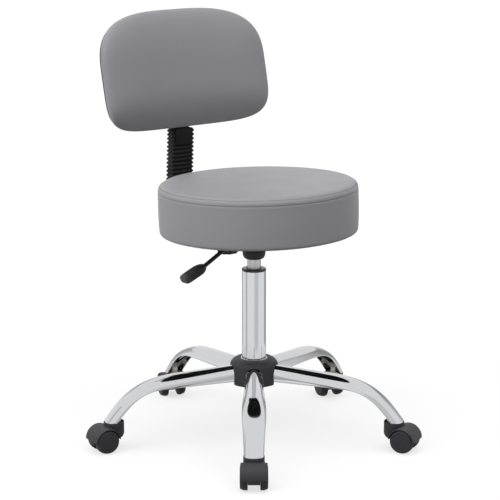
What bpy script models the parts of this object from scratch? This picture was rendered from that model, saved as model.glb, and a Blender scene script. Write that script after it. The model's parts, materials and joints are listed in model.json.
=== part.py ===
"""Medical stool with a backrest: five-leg caster base, gas lift column, round seat and adjustable back.

Metres, +Z up. The sitter faces -Y, so the height lever on the sitter's right is on the -X side. Everything is
laid out round the column's axis, and the whole stool is then moved so that the origin lies on the floor under
the middle of its box.
"""

import math

import bmesh
import bpy
from mathutils import Matrix, Vector

# Clearances
FIT_GAP = 0.0003
RUN_GAP = 0.0005

# Twin-wheel casters, from the floor up
WHEEL_RADIUS = 0.025
WHEEL_WIDTH = 0.015
WHEEL_CHAMFER = 0.0025
WHEEL_SIDES = 20
WHEEL_SIDE_GAP = 0.001
AXLE_RADIUS = 0.003
AXLE_GRIP = 0.0095
WEB_WIDTH = 0.022
WEB_FOOT_Z = 0.0115
HOOD_CLEARANCE = 0.002
HOOD_WALL = 0.0024
HOOD_FROM = math.radians(-28)
HOOD_TO = math.radians(118)
HOOD_STEPS = 9
CASTER_TRAIL = 0.024
COLLAR_RADIUS = 0.0205
COLLAR_ABOVE_HOOD = 0.0051
COLLAR_CHAMFER = 0.0012
COLLAR_DEPTH = 0.020
BOSS_RADIUS = 0.0105
BOSS_DEPTH = 0.034
STEM_RADIUS = 0.004
STEM_TO_AXLE = 0.014
CASTER_TURNS = (0.0, -8.0, 58.0, -18.0, 13.0)

# Legs
LEG_COUNT = 5
FIRST_LEG_ANGLE = math.radians(-126)
LEG_SHEET = 0.0022
LEG_REACH = 0.318
LEG_ROOT_Z = 0.1555
LEG_ROOT_DEPTH = 0.0325
LEG_END_DEPTH = 0.021
LEG_FALL = math.radians(3.5)
LEG_END_SLOPE = math.radians(52)
LEG_INNER_SLOPE = math.radians(50)
LEG_BEND_RADIUS = 0.140
LEG_INNER_BEND_RADIUS = 0.090
LEG_BEND_STEPS = 7
LEG_ROOT_WIDTH = 0.037
LEG_BEND_WIDTH = 0.048
LEG_END_WIDTH = 0.040
LEG_WIDEST_REACH = 0.245
LEG_ROUNDNESS = 2.6
LEG_SECTION_STEPS = 8
STEM_INSET = 0.020
SOCKET_RADIUS = 0.0072
SOCKET_FLANGE = 0.0025
SOCKET_WALL = 0.002

# Hub
HUB_BOTTOM_Z = 0.117
HUB_HEIGHT = 0.050
HUB_RADIUS = 0.033
HUB_NECK_RADIUS = 0.028
HUB_NECK_HEIGHT = 0.008
COVER_RADIUS = 0.0505
COVER_SKIRT_RADIUS = 0.050
COVER_SKIRT_Z = 0.115
COVER_DOME = 0.0165
COVER_DOME_STEPS = 6
COVER_WALL = 0.0022
COVER_LEG_GAP = 0.0008

# Gas lift
COLUMN_RADIUS = 0.025
COLUMN_WALL = 0.002
COLUMN_FLOOR = 0.004
COLUMN_DROP = 0.010
COLUMN_LENGTH = 0.2485
BUSH_LENGTH = 0.058
BUSH_RECESS = 0.0015
TUBE_RADIUS = 0.014
TUBE_WALL = 0.002
TUBE_END = 0.004
TUBE_PLUG = 0.028
STROKE = 0.120
ROD_RADIUS = 0.005
ROD_FOOT_RADIUS = 0.011
ROD_FOOT_HEIGHT = 0.0044
ROD_TAIL = 0.0065
PISTON_HEIGHT = 0.008
PISTON_MARGIN = 0.012
BEARING_RADIUS = 0.014
BEARING_HEIGHT = 0.005
CLIP_RADIUS = 0.0095
CLIP_HEIGHT = 0.0022
BUTTON_RADIUS = 0.004
BUTTON_LENGTH = 0.0175
BUTTON_POCKET = 0.016
TUBE_SHOWN = 0.0205

# Seat support
SOCKET_CUP_RADIUS = 0.0235
SOCKET_CUP_FOOT = 0.017
SOCKET_CUP_ROUND = 0.010
SOCKET_SHOULDER_OUT = 0.75
SOCKET_SHOULDER_UP = 0.3
SOCKET_TO_SEAT = 0.058
TUBE_BELOW_SEAT = 0.024
LEVER_SLOT = 0.012
LEVER_SLOT_DEPTH = 0.019
SEAT_TILT = math.radians(2)
PLATE_WIDTH = 0.144
PLATE_FRONT = 0.080
PLATE_REAR = 0.132
PLATE_SHEET = 0.0025
PLATE_FLANGE = 0.016
EAR_WIDTH = 0.016
EAR_SHEET = 0.003
EAR_SPACE = 0.024
PIN_RADIUS = 0.003

# Height lever, measured in the tilted frame of the seat from its underside
LEVER_PIVOT_OUT = 0.042
LEVER_PIVOT_DROP = 0.012
LEVER_TIP_OUT = -0.003
LEVER_TIP_DROP = 0.0125
LEVER_ROD_RADIUS = 0.0042
LEVER_BARREL_RADIUS = 0.007
LEVER_BEND_OUT = 0.125
LEVER_BEND_DROP = 0.057
LEVER_BEND_RADIUS = 0.010
LEVER_BEND_STEPS = 3
PADDLE_SLOPE = math.radians(23)
PADDLE_LENGTH = 0.054
PADDLE_WIDTH = 0.026
PADDLE_THICKNESS = 0.015
PADDLE_ROUND = 0.005
PADDLE_GRIP = 0.030

# Seat pad
SEAT_RADIUS = 0.2034
SEAT_FORWARD = 0.017
SEAT_SEAM_HEIGHT = 0.088
SEAT_TOP_ROUND = 0.0155
SEAT_CROWN = 0.005
SEAT_CROWN_SHARES = (0.0, 0.35, 0.65, 0.87)
SEAT_EDGE_STEPS = 3
SEAT_SEAM_PINCH = 0.0012
SEAT_TAPER = 0.002
SEAT_FOOT_ROUND = 0.008
SEAT_SIDES = 44
BOARD_RADIUS = 0.184
BOARD_THICKNESS = 0.012
DUST_COVER_RADIUS = 0.188
DUST_COVER_THICKNESS = 0.0012

# Back bar, measured in the tilted frame of the seat
BAR_WIDTH = 0.040
BAR_THICKNESS = 0.006
BAR_DROP = 0.020
BAR_START = 0.062
BAR_REACH = 0.2765
BAR_BEND_RADIUS = 0.030
BAR_LEAN = math.radians(5.4)
BAR_UPRIGHT = 0.200
BAR_TOP_BEND_RADIUS = 0.060
BACK_RECLINE = math.radians(11.4)
BAR_TOP = 0.130
BAR_BEND_STEPS = 6
CLAMP_FRONT = 0.040
CLAMP_REAR = 0.130
CLAMP_WALL = 0.0075
CLAMP_FLOOR = 0.0035
DEPTH_KNOB_REACH = 0.094
DEPTH_KNOB_RADIUS = 0.022
DEPTH_KNOB_HEIGHT = 0.018
DEPTH_KNOB_NECK_RADIUS = 0.012
DEPTH_KNOB_NECK = 0.016
SCREW_RADIUS = 0.004

# Bellows
BELLOWS_WIDTH = 0.054
BELLOWS_DEPTH = 0.027
BELLOWS_RIB_DEPTH = 0.0028
BELLOWS_RIBS = 19
BELLOWS_WALL = 0.002
BELLOWS_CORNER = 0.005
BELLOWS_CORNER_STEPS = 2
BELLOWS_CUFF = 0.003

# Back
BACK_WIDTH = 0.402
BACK_HEIGHT = 0.2505
BACK_TOP_SQUARENESS = 3.1
BACK_SQUARENESS = 5.7
BACK_WRAP = 0.022
BACK_PAD = 0.0425
BACK_CENTRE = 0.1275
BACK_BOARD = 0.008
BACK_POINTS = 44
BACK_PAD_REAR = ((None, 0.0), (0.100, 0.0), (0.055, 0.0), (0.005, 0.0))
BACK_PAD_EDGE = ((0.0015, 0.06), (0.0, 0.22), (0.0, 0.42), (0.005, 0.65), (0.016, 0.82))
BACK_PAD_FRONT = ((0.040, 0.92), (0.072, 0.98), (0.105, 1.0), (None, 1.0))
BACK_BOARD_RINGS = (None, 0.100, 0.055)
BRACKET_WIDTH = 0.050
BRACKET_DEPTH = 0.014
BRACKET_LOW = 0.095
BRACKET_HIGH = 0.020
BRACKET_EARS = 0.090
BRACKET_EAR_SHEET = 0.0025
SHELL_WALL = 0.0025
SHELL_INSET = 0.008
SHELL_EDGE_ROOM = 0.004
SHELL_BOARD_ROOM = 0.018
SHELL_HOUSING_WIDTH = 0.068
SHELL_HOUSING_FADE = 0.042
SHELL_HOUSING_RISE = 0.35
SHELL_HOUSING_RUNOUT = 0.5
SHELL_RIM = 0.08
SHELL_COLUMNS = (0.12, 0.2, 0.3, 0.42, 0.6, 0.82, 0.94, 1.0)
SHELL_ROWS = (-1.0, -0.93, -0.75, -0.45, -0.15, 0.15, 0.35, 0.55, 0.72, 0.85, 0.94, 1.0)
HEIGHT_KNOB_DROP = 0.058
HEIGHT_KNOB_RADIUS = 0.019
HEIGHT_KNOB_HEIGHT = 0.018
SHELL_HOLE_GAP = 0.0015
KNOB_EDGE_SHARE = 0.2

# How round the turned pieces are
COLUMN_SIDES = 28
RING_SIDES = 20
SMALL_SIDES = 14
COVER_SIDES = 38
KNOB_SIDES = 24
BARREL_SIDES = 16
SMOOTH_ANGLE = math.radians(35)

# Heights along the column and reaches along a leg, worked out from the sizes above
HOOD_RADIUS = WHEEL_RADIUS + HOOD_CLEARANCE + HOOD_WALL
WHEEL_OFFSET = WEB_WIDTH / 2 + WHEEL_SIDE_GAP + WHEEL_WIDTH / 2
CASTER_TOP_Z = WHEEL_RADIUS + HOOD_RADIUS + COLLAR_ABOVE_HOOD
LEG_END_Z = CASTER_TOP_Z + RUN_GAP
STEM_REACH = LEG_REACH - STEM_INSET
HUB_TOP_Z = HUB_BOTTOM_Z + HUB_HEIGHT
COLUMN_Z = HUB_BOTTOM_Z - COLUMN_DROP
COLUMN_TOP_Z = COLUMN_Z + COLUMN_LENGTH
BEARING_Z = COLUMN_Z + COLUMN_FLOOR + FIT_GAP
ROD_FOOT_Z = BEARING_Z + BEARING_HEIGHT + FIT_GAP
TUBE_Z = ROD_FOOT_Z + ROD_FOOT_HEIGHT + TUBE_END
SOCKET_Z = COLUMN_TOP_Z + TUBE_SHOWN
SEAT_Z = SOCKET_Z + SOCKET_TO_SEAT
TUBE_TOP_Z = SEAT_Z - TUBE_BELOW_SEAT
DUST_COVER_TOP = -FIT_GAP
PLATE_TOP = DUST_COVER_TOP - DUST_COVER_THICKNESS - FIT_GAP
PLATE_UNDER = PLATE_TOP - PLATE_SHEET
CLAMP_BOTTOM = -BAR_DROP - BAR_THICKNESS / 2 - RUN_GAP - CLAMP_FLOOR
PAD_REAR = -BRACKET_DEPTH / 2 - FIT_GAP - BACK_BOARD - FIT_GAP
BACK_BOARD_INSET = SHELL_INSET + SHELL_BOARD_ROOM
SHELL_EDGE = BACK_BOARD + SHELL_EDGE_ROOM

# Colour, roughness and metallic value of each finish
FINISHES = {
    "chrome": ((0.78, 0.79, 0.80), 0.08, 1.0),
    "steel": ((0.55, 0.56, 0.57), 0.35, 1.0),
    "black_steel": ((0.03, 0.03, 0.032), 0.45, 0.0),
    "dark_plastic": ((0.09, 0.09, 0.095), 0.45, 0.0),
    "black_plastic": ((0.025, 0.025, 0.027), 0.5, 0.0),
    "bellows_rubber": ((0.02, 0.02, 0.022), 0.6, 0.0),
    "vinyl": ((0.30, 0.30, 0.31), 0.5, 0.0),
    "plywood": ((0.55, 0.40, 0.25), 0.7, 0.0),
    "dust_cloth": ((0.02, 0.02, 0.02), 0.9, 0.0),
}


# Scene helpers

def clear_scene():
    """Remove every object, and add the collections for the parts and for the cutters."""
    for old in list(bpy.data.objects):
        bpy.data.objects.remove(old, do_unlink=True)
    parts = bpy.data.collections.new("medical_stool")
    cutters = bpy.data.collections.new("medical_stool_cutters")
    bpy.context.scene.collection.children.link(parts)
    bpy.context.scene.collection.children.link(cutters)
    return parts, cutters


PARTS, CUTTERS = clear_scene()


def add_frame(name, parent=None, location=(0.0, 0.0, 0.0), rotation=(0.0, 0.0, 0.0)):
    """An empty that carries pieces, on the axis that they turn or slide along."""
    frame = bpy.data.objects.new(name, None)
    PARTS.objects.link(frame)
    frame.parent = parent
    frame.location = location
    frame.rotation_euler = rotation
    frame.empty_display_size = 0.03
    return frame


def add_part(name, mesh, parent, finish):
    """One piece of the stool, with its own material."""
    part = bpy.data.objects.new(name, mesh)
    PARTS.objects.link(part)
    part.parent = parent
    if not mesh.materials:
        mesh.materials.append(piece_material(name, finish))
    if mesh.polygons:
        mesh.shade_smooth()
        mesh.set_sharp_from_angle(angle=SMOOTH_ANGLE)
    return part


def piece_material(name, finish):
    """A Principled material for one piece."""
    colour, roughness, metallic = FINISHES[finish]
    material = bpy.data.materials.new(f"{name}_{finish}")
    material.use_nodes = True
    shader = material.node_tree.nodes["Principled BSDF"]
    shader.inputs["Base Color"].default_value = (*colour, 1.0)
    shader.inputs["Roughness"].default_value = roughness
    shader.inputs["Metallic"].default_value = metallic
    material.diffuse_color = (*colour, 1.0)
    return material


def evaluated_mesh(carrier):
    """The mesh of an object after its modifiers, with loose caps welded and faces pointing out."""
    depsgraph = bpy.context.evaluated_depsgraph_get()
    mesh = bpy.data.meshes.new_from_object(carrier.evaluated_get(depsgraph))
    bm = bmesh.new()
    bm.from_mesh(mesh)
    bmesh.ops.remove_doubles(bm, verts=bm.verts, dist=1e-6)
    bm.normal_update()
    bmesh.ops.recalc_face_normals(bm, faces=bm.faces)
    bm.to_mesh(mesh)
    bm.free()
    return mesh


def baked(part):
    """Turn a piece with modifiers into a plain mesh that copies can share, and drop its cutters."""
    mesh = evaluated_mesh(part)
    for cutter in list(part.children):
        bpy.data.objects.remove(cutter, do_unlink=True)
    part.modifiers.clear()
    part.data = mesh
    return mesh


def combine(part, mesh, operation):
    """Cut a mesh out of a piece, or join it on. The mesh is in the piece's own frame."""
    cutter = bpy.data.objects.new(f"{part.name}_{operation.lower()}_{len(part.modifiers)}", mesh)
    CUTTERS.objects.link(cutter)
    cutter.parent = part
    cutter.hide_render = True
    cutter.display_type = "WIRE"
    modifier = part.modifiers.new(cutter.name, "BOOLEAN")
    modifier.operation = operation
    modifier.object = cutter
    modifier.solver = "EXACT"


# Shape helpers

def box_mesh(name, low, high):
    """A box between two corners."""
    bm = bmesh.new()
    bmesh.ops.create_cube(bm, size=1.0)
    size = Vector(high) - Vector(low)
    bmesh.ops.scale(bm, vec=size, verts=bm.verts)
    bmesh.ops.translate(bm, vec=Vector(low) + size / 2, verts=bm.verts)
    return finished_mesh(name, bm)


def rod_mesh(name, radius, start, end, sides=SMALL_SIDES):
    """A straight round rod between two points."""
    start, end = Vector(start), Vector(end)
    along = end - start
    bm = bmesh.new()
    ends = {"radius1": radius, "radius2": radius, "depth": along.length}
    bmesh.ops.create_cone(bm, cap_ends=True, segments=sides, **ends)
    turn = Vector((0.0, 0.0, 1.0)).rotation_difference(along).to_matrix().to_4x4()
    bm.transform(Matrix.Translation((start + end) / 2) @ turn)
    return finished_mesh(name, bm)


def finished_mesh(name, bm, point_out=True):
    """A mesh from a bmesh, with the faces of a closed shape pointing out."""
    if point_out:
        bm.normal_update()
        bmesh.ops.recalc_face_normals(bm, faces=bm.faces)
    mesh = bpy.data.meshes.new(name)
    bm.to_mesh(mesh)
    bm.free()
    return mesh


def profile_mesh(name, points, loop, start_angle=0.0):
    """The edges of a (radius, height) profile, ready to be turned about Z."""
    bm = bmesh.new()
    across = Vector((math.cos(start_angle), math.sin(start_angle), 0.0))
    verts = [bm.verts.new(across * radius + Vector((0.0, 0.0, height))) for radius, height in points]
    for first, second in zip(verts, verts[1:]):
        bm.edges.new((first, second))
    if loop:
        bm.edges.new((verts[-1], verts[0]))
    return finished_mesh(name, bm, point_out=False)


def add_turned(name, points, parent, finish, sides, loop=False, start_angle=0.0):
    """A turned piece. The profile runs down its outer side; a loop makes a ring."""
    part = add_part(name, profile_mesh(name, points, loop, start_angle), parent, finish)
    screw = part.modifiers.new("turn", "SCREW")
    screw.axis = "Z"
    screw.steps = sides
    screw.render_steps = sides
    screw.use_merge_vertices = True
    screw.merge_threshold = 0.00001
    screw.use_smooth_shade = True
    return part


def loft_mesh(name, rows, closed, point_out=True, capped=False):
    """Faces between rows of points; a row of one point is a pole."""
    bm = bmesh.new()
    lines = [[bm.verts.new(point) for point in row] for row in rows]
    for line, following in zip(lines, lines[1:]):
        count = max(len(line), len(following))
        for k in range(count if closed else count - 1):
            j = (k + 1) % count
            near = [line[k % len(line)], line[j % len(line)]]
            far = [following[j % len(following)], following[k % len(following)]]
            bm.faces.new(list(dict.fromkeys(near + far)))
    if capped:
        bm.faces.new(lines[0])
        bm.faces.new(lines[-1])
    return finished_mesh(name, bm, point_out)


def curve_mesh(curve):
    """A curve made a closed mesh."""
    carrier = bpy.data.objects.new(curve.name, curve)
    CUTTERS.objects.link(carrier)
    mesh = evaluated_mesh(carrier)
    bpy.data.objects.remove(carrier, do_unlink=True)
    return mesh


def outline_mesh(name, points, half_width):
    """A flat outline in X and Z, given the same width to both sides of Y = 0."""
    curve = bpy.data.curves.new(name, "CURVE")
    curve.dimensions = "2D"
    curve.fill_mode = "BOTH"
    curve.extrude = half_width
    spline = curve.splines.new("POLY")
    spline.points.add(len(points) - 1)
    for point, (x, z) in zip(spline.points, points):
        point.co = (x, z, 0.0, 1.0)
    spline.use_cyclic_u = True
    mesh = curve_mesh(curve)
    mesh.transform(Matrix.Rotation(math.pi / 2, 4, "X"))
    return mesh


def wire_mesh(name, points, radius):
    """A round wire along points."""
    curve = bpy.data.curves.new(name, "CURVE")
    curve.dimensions = "3D"
    curve.bevel_depth = radius
    curve.bevel_resolution = 2
    curve.use_fill_caps = True
    spline = curve.splines.new("POLY")
    spline.points.add(len(points) - 1)
    for point, place in zip(spline.points, points):
        point.co = (*place, 1.0)
    return curve_mesh(curve)


def rounded_path(corners, radii, steps):
    """A path in a plane, with an arc of its own radius at each inner corner."""
    points = [Vector(corners[0])]
    for before, corner, after, radius in zip(corners, corners[1:], corners[2:], radii):
        arrive = (Vector(corner) - Vector(before)).normalized()
        leave = (Vector(after) - Vector(corner)).normalized()
        turn = arrive.angle(leave)
        start = Vector(corner) - arrive * radius * math.tan(turn / 2)
        side = Vector((-arrive.y, arrive.x))
        if side.dot(leave) < 0:
            side.negate()
        for k in range(steps + 1):
            angle = turn * k / steps
            points.append(start + side * radius * (1 - math.cos(angle)) + arrive * radius * math.sin(angle))
    points.append(Vector(corners[-1]))
    return points


def ease(value):
    """A smooth step from 0 to 1."""
    value = min(max(value, 0.0), 1.0)
    return value * value * (3 - 2 * value)


def signed_power(value, power):
    """A power that keeps the sign, for superellipses."""
    return math.copysign(abs(value) ** power, value)


# Base

def leg_edge(root_z, fall, end_reach, end_slope, bend_radius):
    """Side view of one edge of a leg, from the hub to just under its cut end: (reach, height) points."""
    start = Vector((HUB_RADIUS / 2, root_z + math.tan(fall) * HUB_RADIUS / 2))
    spare = LEG_SHEET * 2
    end = Vector((end_reach + spare / math.tan(end_slope), LEG_END_Z - spare))
    bend_reach = (end.y - start.y + math.tan(end_slope) * end.x - math.tan(fall) * start.x)
    bend_reach /= math.tan(end_slope) - math.tan(fall)
    bend = Vector((bend_reach, start.y - math.tan(fall) * (bend_reach - start.x)))
    return rounded_path([start, bend, end], [bend_radius], LEG_BEND_STEPS)


def leg_width(reach):
    """Width of a leg, widest at its bend."""
    if reach < LEG_WIDEST_REACH:
        share = ease((reach - HUB_RADIUS) / (LEG_WIDEST_REACH - HUB_RADIUS))
        return LEG_ROOT_WIDTH + (LEG_BEND_WIDTH - LEG_ROOT_WIDTH) * share
    share = ease((reach - LEG_WIDEST_REACH) / (LEG_REACH - LEG_WIDEST_REACH))
    return LEG_BEND_WIDTH + (LEG_END_WIDTH - LEG_BEND_WIDTH) * share


def arch_points(inner, outer, width):
    """A round-topped arch across a leg, from its inner edge at one side over the outer edge to the other."""
    points = []
    for k in range(LEG_SECTION_STEPS + 1):
        angle = math.pi * k / LEG_SECTION_STEPS
        aside = width / 2 * signed_power(math.cos(angle), 2 / LEG_ROUNDNESS)
        rise = max(math.sin(angle), 0.0) ** (2 / LEG_ROUNDNESS)
        place = inner.lerp(outer, rise)
        points.append((place.x, aside, place.y))
    return points


def leg_mesh():
    """A stamped channel leg along +X, cut level for the caster and coped round the hub."""
    outer_edge = leg_edge(LEG_ROOT_Z, LEG_FALL, LEG_REACH, LEG_END_SLOPE, LEG_BEND_RADIUS)
    inner_root = LEG_ROOT_Z - LEG_ROOT_DEPTH
    inner_reach = LEG_REACH - LEG_END_DEPTH
    inner_edge = leg_edge(inner_root, 0.0, inner_reach, LEG_INNER_SLOPE, LEG_INNER_BEND_RADIUS)
    rows = [arch_points(inner, outer, leg_width(outer.x)) for inner, outer in zip(inner_edge, outer_edge)]
    leg = add_part("leg_pattern", loft_mesh("leg", rows, closed=False, point_out=False), None, "chrome")
    sheet = leg.modifiers.new("sheet", "SOLIDIFY")
    sheet.thickness = LEG_SHEET
    sheet.offset = -1.0
    sheet.use_even_offset = True
    margin = LEG_BEND_WIDTH
    low = (0.0, -margin, LEG_END_Z - margin)
    high = (LEG_REACH + margin, margin, LEG_END_Z)
    combine(leg, box_mesh("leg_level_cut", low, high), "DIFFERENCE")
    hub_top = (0.0, 0.0, HUB_TOP_Z + margin)
    hub_bottom = (0.0, 0.0, HUB_BOTTOM_Z - margin)
    combine(leg, rod_mesh("leg_cope", HUB_RADIUS + FIT_GAP, hub_bottom, hub_top, COLUMN_SIDES), "DIFFERENCE")
    mesh = baked(leg)
    bpy.data.objects.remove(leg, do_unlink=True)
    return mesh


def leg_wall_reach(height):
    """Reach of the inside of a leg's end wall at a height above the floor."""
    return LEG_REACH - (height - LEG_END_Z) / math.tan(LEG_END_SLOPE) - LEG_SHEET / math.sin(LEG_END_SLOPE)


def leg_wall_height(reach):
    """Height of the inside of a leg's end wall at a reach from the column's axis."""
    return LEG_END_Z + (LEG_REACH - LEG_SHEET / math.sin(LEG_END_SLOPE) - reach) * math.tan(LEG_END_SLOPE)


def socket_profile():
    """Stem socket under the sloping end of a leg: flange, barrel and a dome that follows the slope."""
    flange_top = LEG_END_Z + SOCKET_FLANGE
    flange = leg_wall_reach(flange_top) - STEM_REACH - RUN_GAP
    bore = STEM_RADIUS + FIT_GAP
    tip = bore / 2
    barrel_top = leg_wall_height(STEM_REACH + SOCKET_RADIUS + RUN_GAP)
    tip_top = leg_wall_height(STEM_REACH + tip + RUN_GAP)
    return [
        (0.0, tip_top), (tip, tip_top), (SOCKET_RADIUS, barrel_top), (SOCKET_RADIUS, flange_top),
        (flange, flange_top), (flange, LEG_END_Z), (bore, LEG_END_Z), (bore, stem_top_z() + FIT_GAP),
        (0.0, stem_top_z() + FIT_GAP),
    ]


def stem_top_z():
    """Top of a caster's stem, a wall below the socket's dome."""
    return leg_wall_height(STEM_REACH + STEM_RADIUS + FIT_GAP + RUN_GAP) - SOCKET_WALL - FIT_GAP


def cover_arch_mesh():
    """Space for a leg, along +X, in the hub's cover."""
    rows = []
    for reach in (COLUMN_RADIUS + (HUB_NECK_RADIUS - COLUMN_RADIUS) / 2, COVER_RADIUS * 2):
        top = LEG_ROOT_Z - math.tan(LEG_FALL) * reach + COVER_LEG_GAP
        inner = Vector((reach, LEG_ROOT_Z - LEG_ROOT_DEPTH))
        outer = Vector((reach, top + math.tan(LEG_FALL) * HUB_RADIUS))
        arch = arch_points(inner, outer, leg_width(COVER_RADIUS) + 2 * COVER_LEG_GAP)
        foot = HUB_BOTTOM_Z - COLUMN_DROP
        rows.append(arch + [(reach, arch[-1][1], foot), (reach, arch[0][1], foot)])
    return loft_mesh("cover_arch", rows, closed=True, capped=True)


def add_hub(base):
    """Hub core, and the cover with an arch over each leg."""
    bore = COLUMN_RADIUS + FIT_GAP
    shoulder = HUB_TOP_Z - HUB_NECK_HEIGHT
    core = [
        (HUB_NECK_RADIUS, HUB_TOP_Z), (HUB_NECK_RADIUS, shoulder), (HUB_RADIUS, shoulder),
        (HUB_RADIUS, HUB_BOTTOM_Z), (bore, HUB_BOTTOM_Z), (bore, HUB_TOP_Z),
    ]
    add_turned("hub_core", core, base, "chrome", COLUMN_SIDES, loop=True)
    hole = HUB_NECK_RADIUS + RUN_GAP
    brim = HUB_TOP_Z + FIT_GAP - COVER_DOME
    dome_outer = dome_points(hole, COVER_RADIUS, brim, COVER_DOME)
    dome_inner = dome_points(hole, COVER_RADIUS - COVER_WALL, brim, COVER_DOME - COVER_WALL)
    skirt_inner = COVER_SKIRT_RADIUS - COVER_WALL
    skirt = [(COVER_SKIRT_RADIUS, COVER_SKIRT_Z), (skirt_inner, COVER_SKIRT_Z)]
    cover = dome_outer + skirt + dome_inner[::-1]
    part = add_turned("hub_cover", cover, base, "dark_plastic", COVER_SIDES, loop=True)
    for k in range(LEG_COUNT):
        arch = cover_arch_mesh()
        arch.transform(Matrix.Rotation(leg_angle(k), 4, "Z"))
        combine(part, arch, "DIFFERENCE")


def dome_points(hole, radius, brim_z, height):
    """Quarter ellipse from a hole's edge down to a brim."""
    points = []
    for k in range(COVER_DOME_STEPS + 1):
        angle = math.pi / 2 * k / COVER_DOME_STEPS
        points.append((hole + (radius - hole) * math.sin(angle), brim_z + height * math.cos(angle)))
    return points


def leg_angle(index):
    """Direction of a leg about the column."""
    return FIRST_LEG_ANGLE + 2 * math.pi * index / LEG_COUNT


def add_base(root):
    """Hub, legs, stem sockets and the fixed parts of the column."""
    base = add_frame("base_frame", root)
    add_hub(base)
    shape = leg_mesh()
    for k in range(LEG_COUNT):
        leg = add_part(f"leg_{k + 1}", shape.copy(), base, "chrome")
        leg.rotation_euler.z = leg_angle(k)
        socket = add_turned(f"stem_socket_{k + 1}", socket_profile(), base, "steel", SMALL_SIDES)
        socket.location = stem_place(k)
    inner = COLUMN_RADIUS - COLUMN_WALL
    hole = ROD_RADIUS + FIT_GAP
    floor_top = COLUMN_Z + COLUMN_FLOOR
    column = [
        (COLUMN_RADIUS, COLUMN_TOP_Z), (COLUMN_RADIUS, COLUMN_Z + COLUMN_WALL), (inner, COLUMN_Z),
        (hole, COLUMN_Z), (hole, floor_top), (inner, floor_top), (inner, COLUMN_TOP_Z),
    ]
    add_turned("column_tube", column, base, "chrome", COLUMN_SIDES, loop=True)
    bush_radii = (TUBE_RADIUS + FIT_GAP, inner - FIT_GAP)
    bush_top = COLUMN_TOP_Z - BUSH_RECESS
    add_ring("guide_bush", bush_radii, bush_top - BUSH_LENGTH, BUSH_LENGTH, base, "black_plastic")
    bearing_radii = (ROD_RADIUS + RUN_GAP, BEARING_RADIUS)
    add_ring("thrust_bearing", bearing_radii, BEARING_Z, BEARING_HEIGHT, base, "steel")
    return base


def add_ring(name, radii, low, height, parent, finish):
    """A plain ring about Z, from its inner and outer radius."""
    inner, outer = radii
    high = low + height
    points = [(outer, high), (outer, low), (inner, low), (inner, high)]
    return add_turned(name, points, parent, finish, RING_SIDES, loop=True)


def stem_place(index):
    """Floor point under a caster's stem."""
    angle = leg_angle(index)
    return (STEM_REACH * math.cos(angle), STEM_REACH * math.sin(angle), 0.0)


# Casters

def hood_arc(radius):
    """Points of an arc about the axle, over the top of the wheels."""
    points = []
    for k in range(HOOD_STEPS + 1):
        angle = HOOD_FROM + (HOOD_TO - HOOD_FROM) * k / HOOD_STEPS
        points.append((CASTER_TRAIL + radius * math.cos(angle), WHEEL_RADIUS + radius * math.sin(angle)))
    return points


def hood_mesh():
    """Caster body: hood over the wheels, web between them, boss and collar round the stem, axle hole."""
    hood_inner = WHEEL_RADIUS + HOOD_CLEARANCE
    half_width = WHEEL_OFFSET + WHEEL_WIDTH / 2 + RUN_GAP
    band = hood_arc(HOOD_RADIUS) + hood_arc(hood_inner)[::-1]
    hood = add_part("hood_pattern", outline_mesh("hood", band, half_width), None, "dark_plastic")
    web_top = CASTER_TOP_Z - COLLAR_CHAMFER
    web = hood_arc(hood_inner + HOOD_WALL / 2) + [
        (BOSS_RADIUS, web_top), (-BOSS_RADIUS, web_top), (-BOSS_RADIUS, WHEEL_RADIUS + BOSS_RADIUS),
        (0.0, WHEEL_RADIUS - AXLE_RADIUS), (CASTER_TRAIL - BOSS_RADIUS, WEB_FOOT_Z),
        (CASTER_TRAIL + BOSS_RADIUS, WEB_FOOT_Z),
    ]
    combine(hood, outline_mesh("hood_web", web, WEB_WIDTH / 2), "UNION")
    combine(hood, boss_mesh(hood_inner + FIT_GAP, half_width), "UNION")
    stem_hole_top = (0.0, 0.0, CASTER_TOP_Z + COLLAR_DEPTH)
    stem_hole_end = (0.0, 0.0, stem_foot_z() - FIT_GAP)
    combine(hood, rod_mesh("stem_hole", STEM_RADIUS + FIT_GAP, stem_hole_end, stem_hole_top), "DIFFERENCE")
    axle_left = (CASTER_TRAIL, half_width, WHEEL_RADIUS)
    axle_right = (CASTER_TRAIL, -half_width, WHEEL_RADIUS)
    combine(hood, rod_mesh("axle_hole", AXLE_RADIUS + FIT_GAP, axle_right, axle_left), "DIFFERENCE")
    mesh = baked(hood)
    bpy.data.objects.remove(hood, do_unlink=True)
    return mesh


def boss_mesh(room, half_width):
    """Collar and boss round the stem, with the wheels' room taken out of both sides."""
    profile = [
        (0.0, CASTER_TOP_Z), (COLLAR_RADIUS - COLLAR_CHAMFER, CASTER_TOP_Z),
        (COLLAR_RADIUS, CASTER_TOP_Z - COLLAR_CHAMFER), (COLLAR_RADIUS, CASTER_TOP_Z - COLLAR_DEPTH),
        (BOSS_RADIUS, CASTER_TOP_Z - BOSS_DEPTH), (0.0, CASTER_TOP_Z - BOSS_DEPTH),
    ]
    boss = add_turned("boss_pattern", profile, None, "dark_plastic", COLUMN_SIDES - 4)
    for way in (-1, 1):
        inner = (CASTER_TRAIL, way * (WEB_WIDTH / 2 - FIT_GAP), WHEEL_RADIUS)
        outer = (CASTER_TRAIL, way * half_width, WHEEL_RADIUS)
        combine(boss, rod_mesh("wheel_room", room, inner, outer, COLUMN_SIDES), "DIFFERENCE")
    mesh = baked(boss)
    bpy.data.objects.remove(boss, do_unlink=True)
    return mesh


def stem_foot_z():
    """Lower end of a caster's stem, in the boss above the axle's height."""
    return WHEEL_RADIUS + STEM_TO_AXLE


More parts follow.
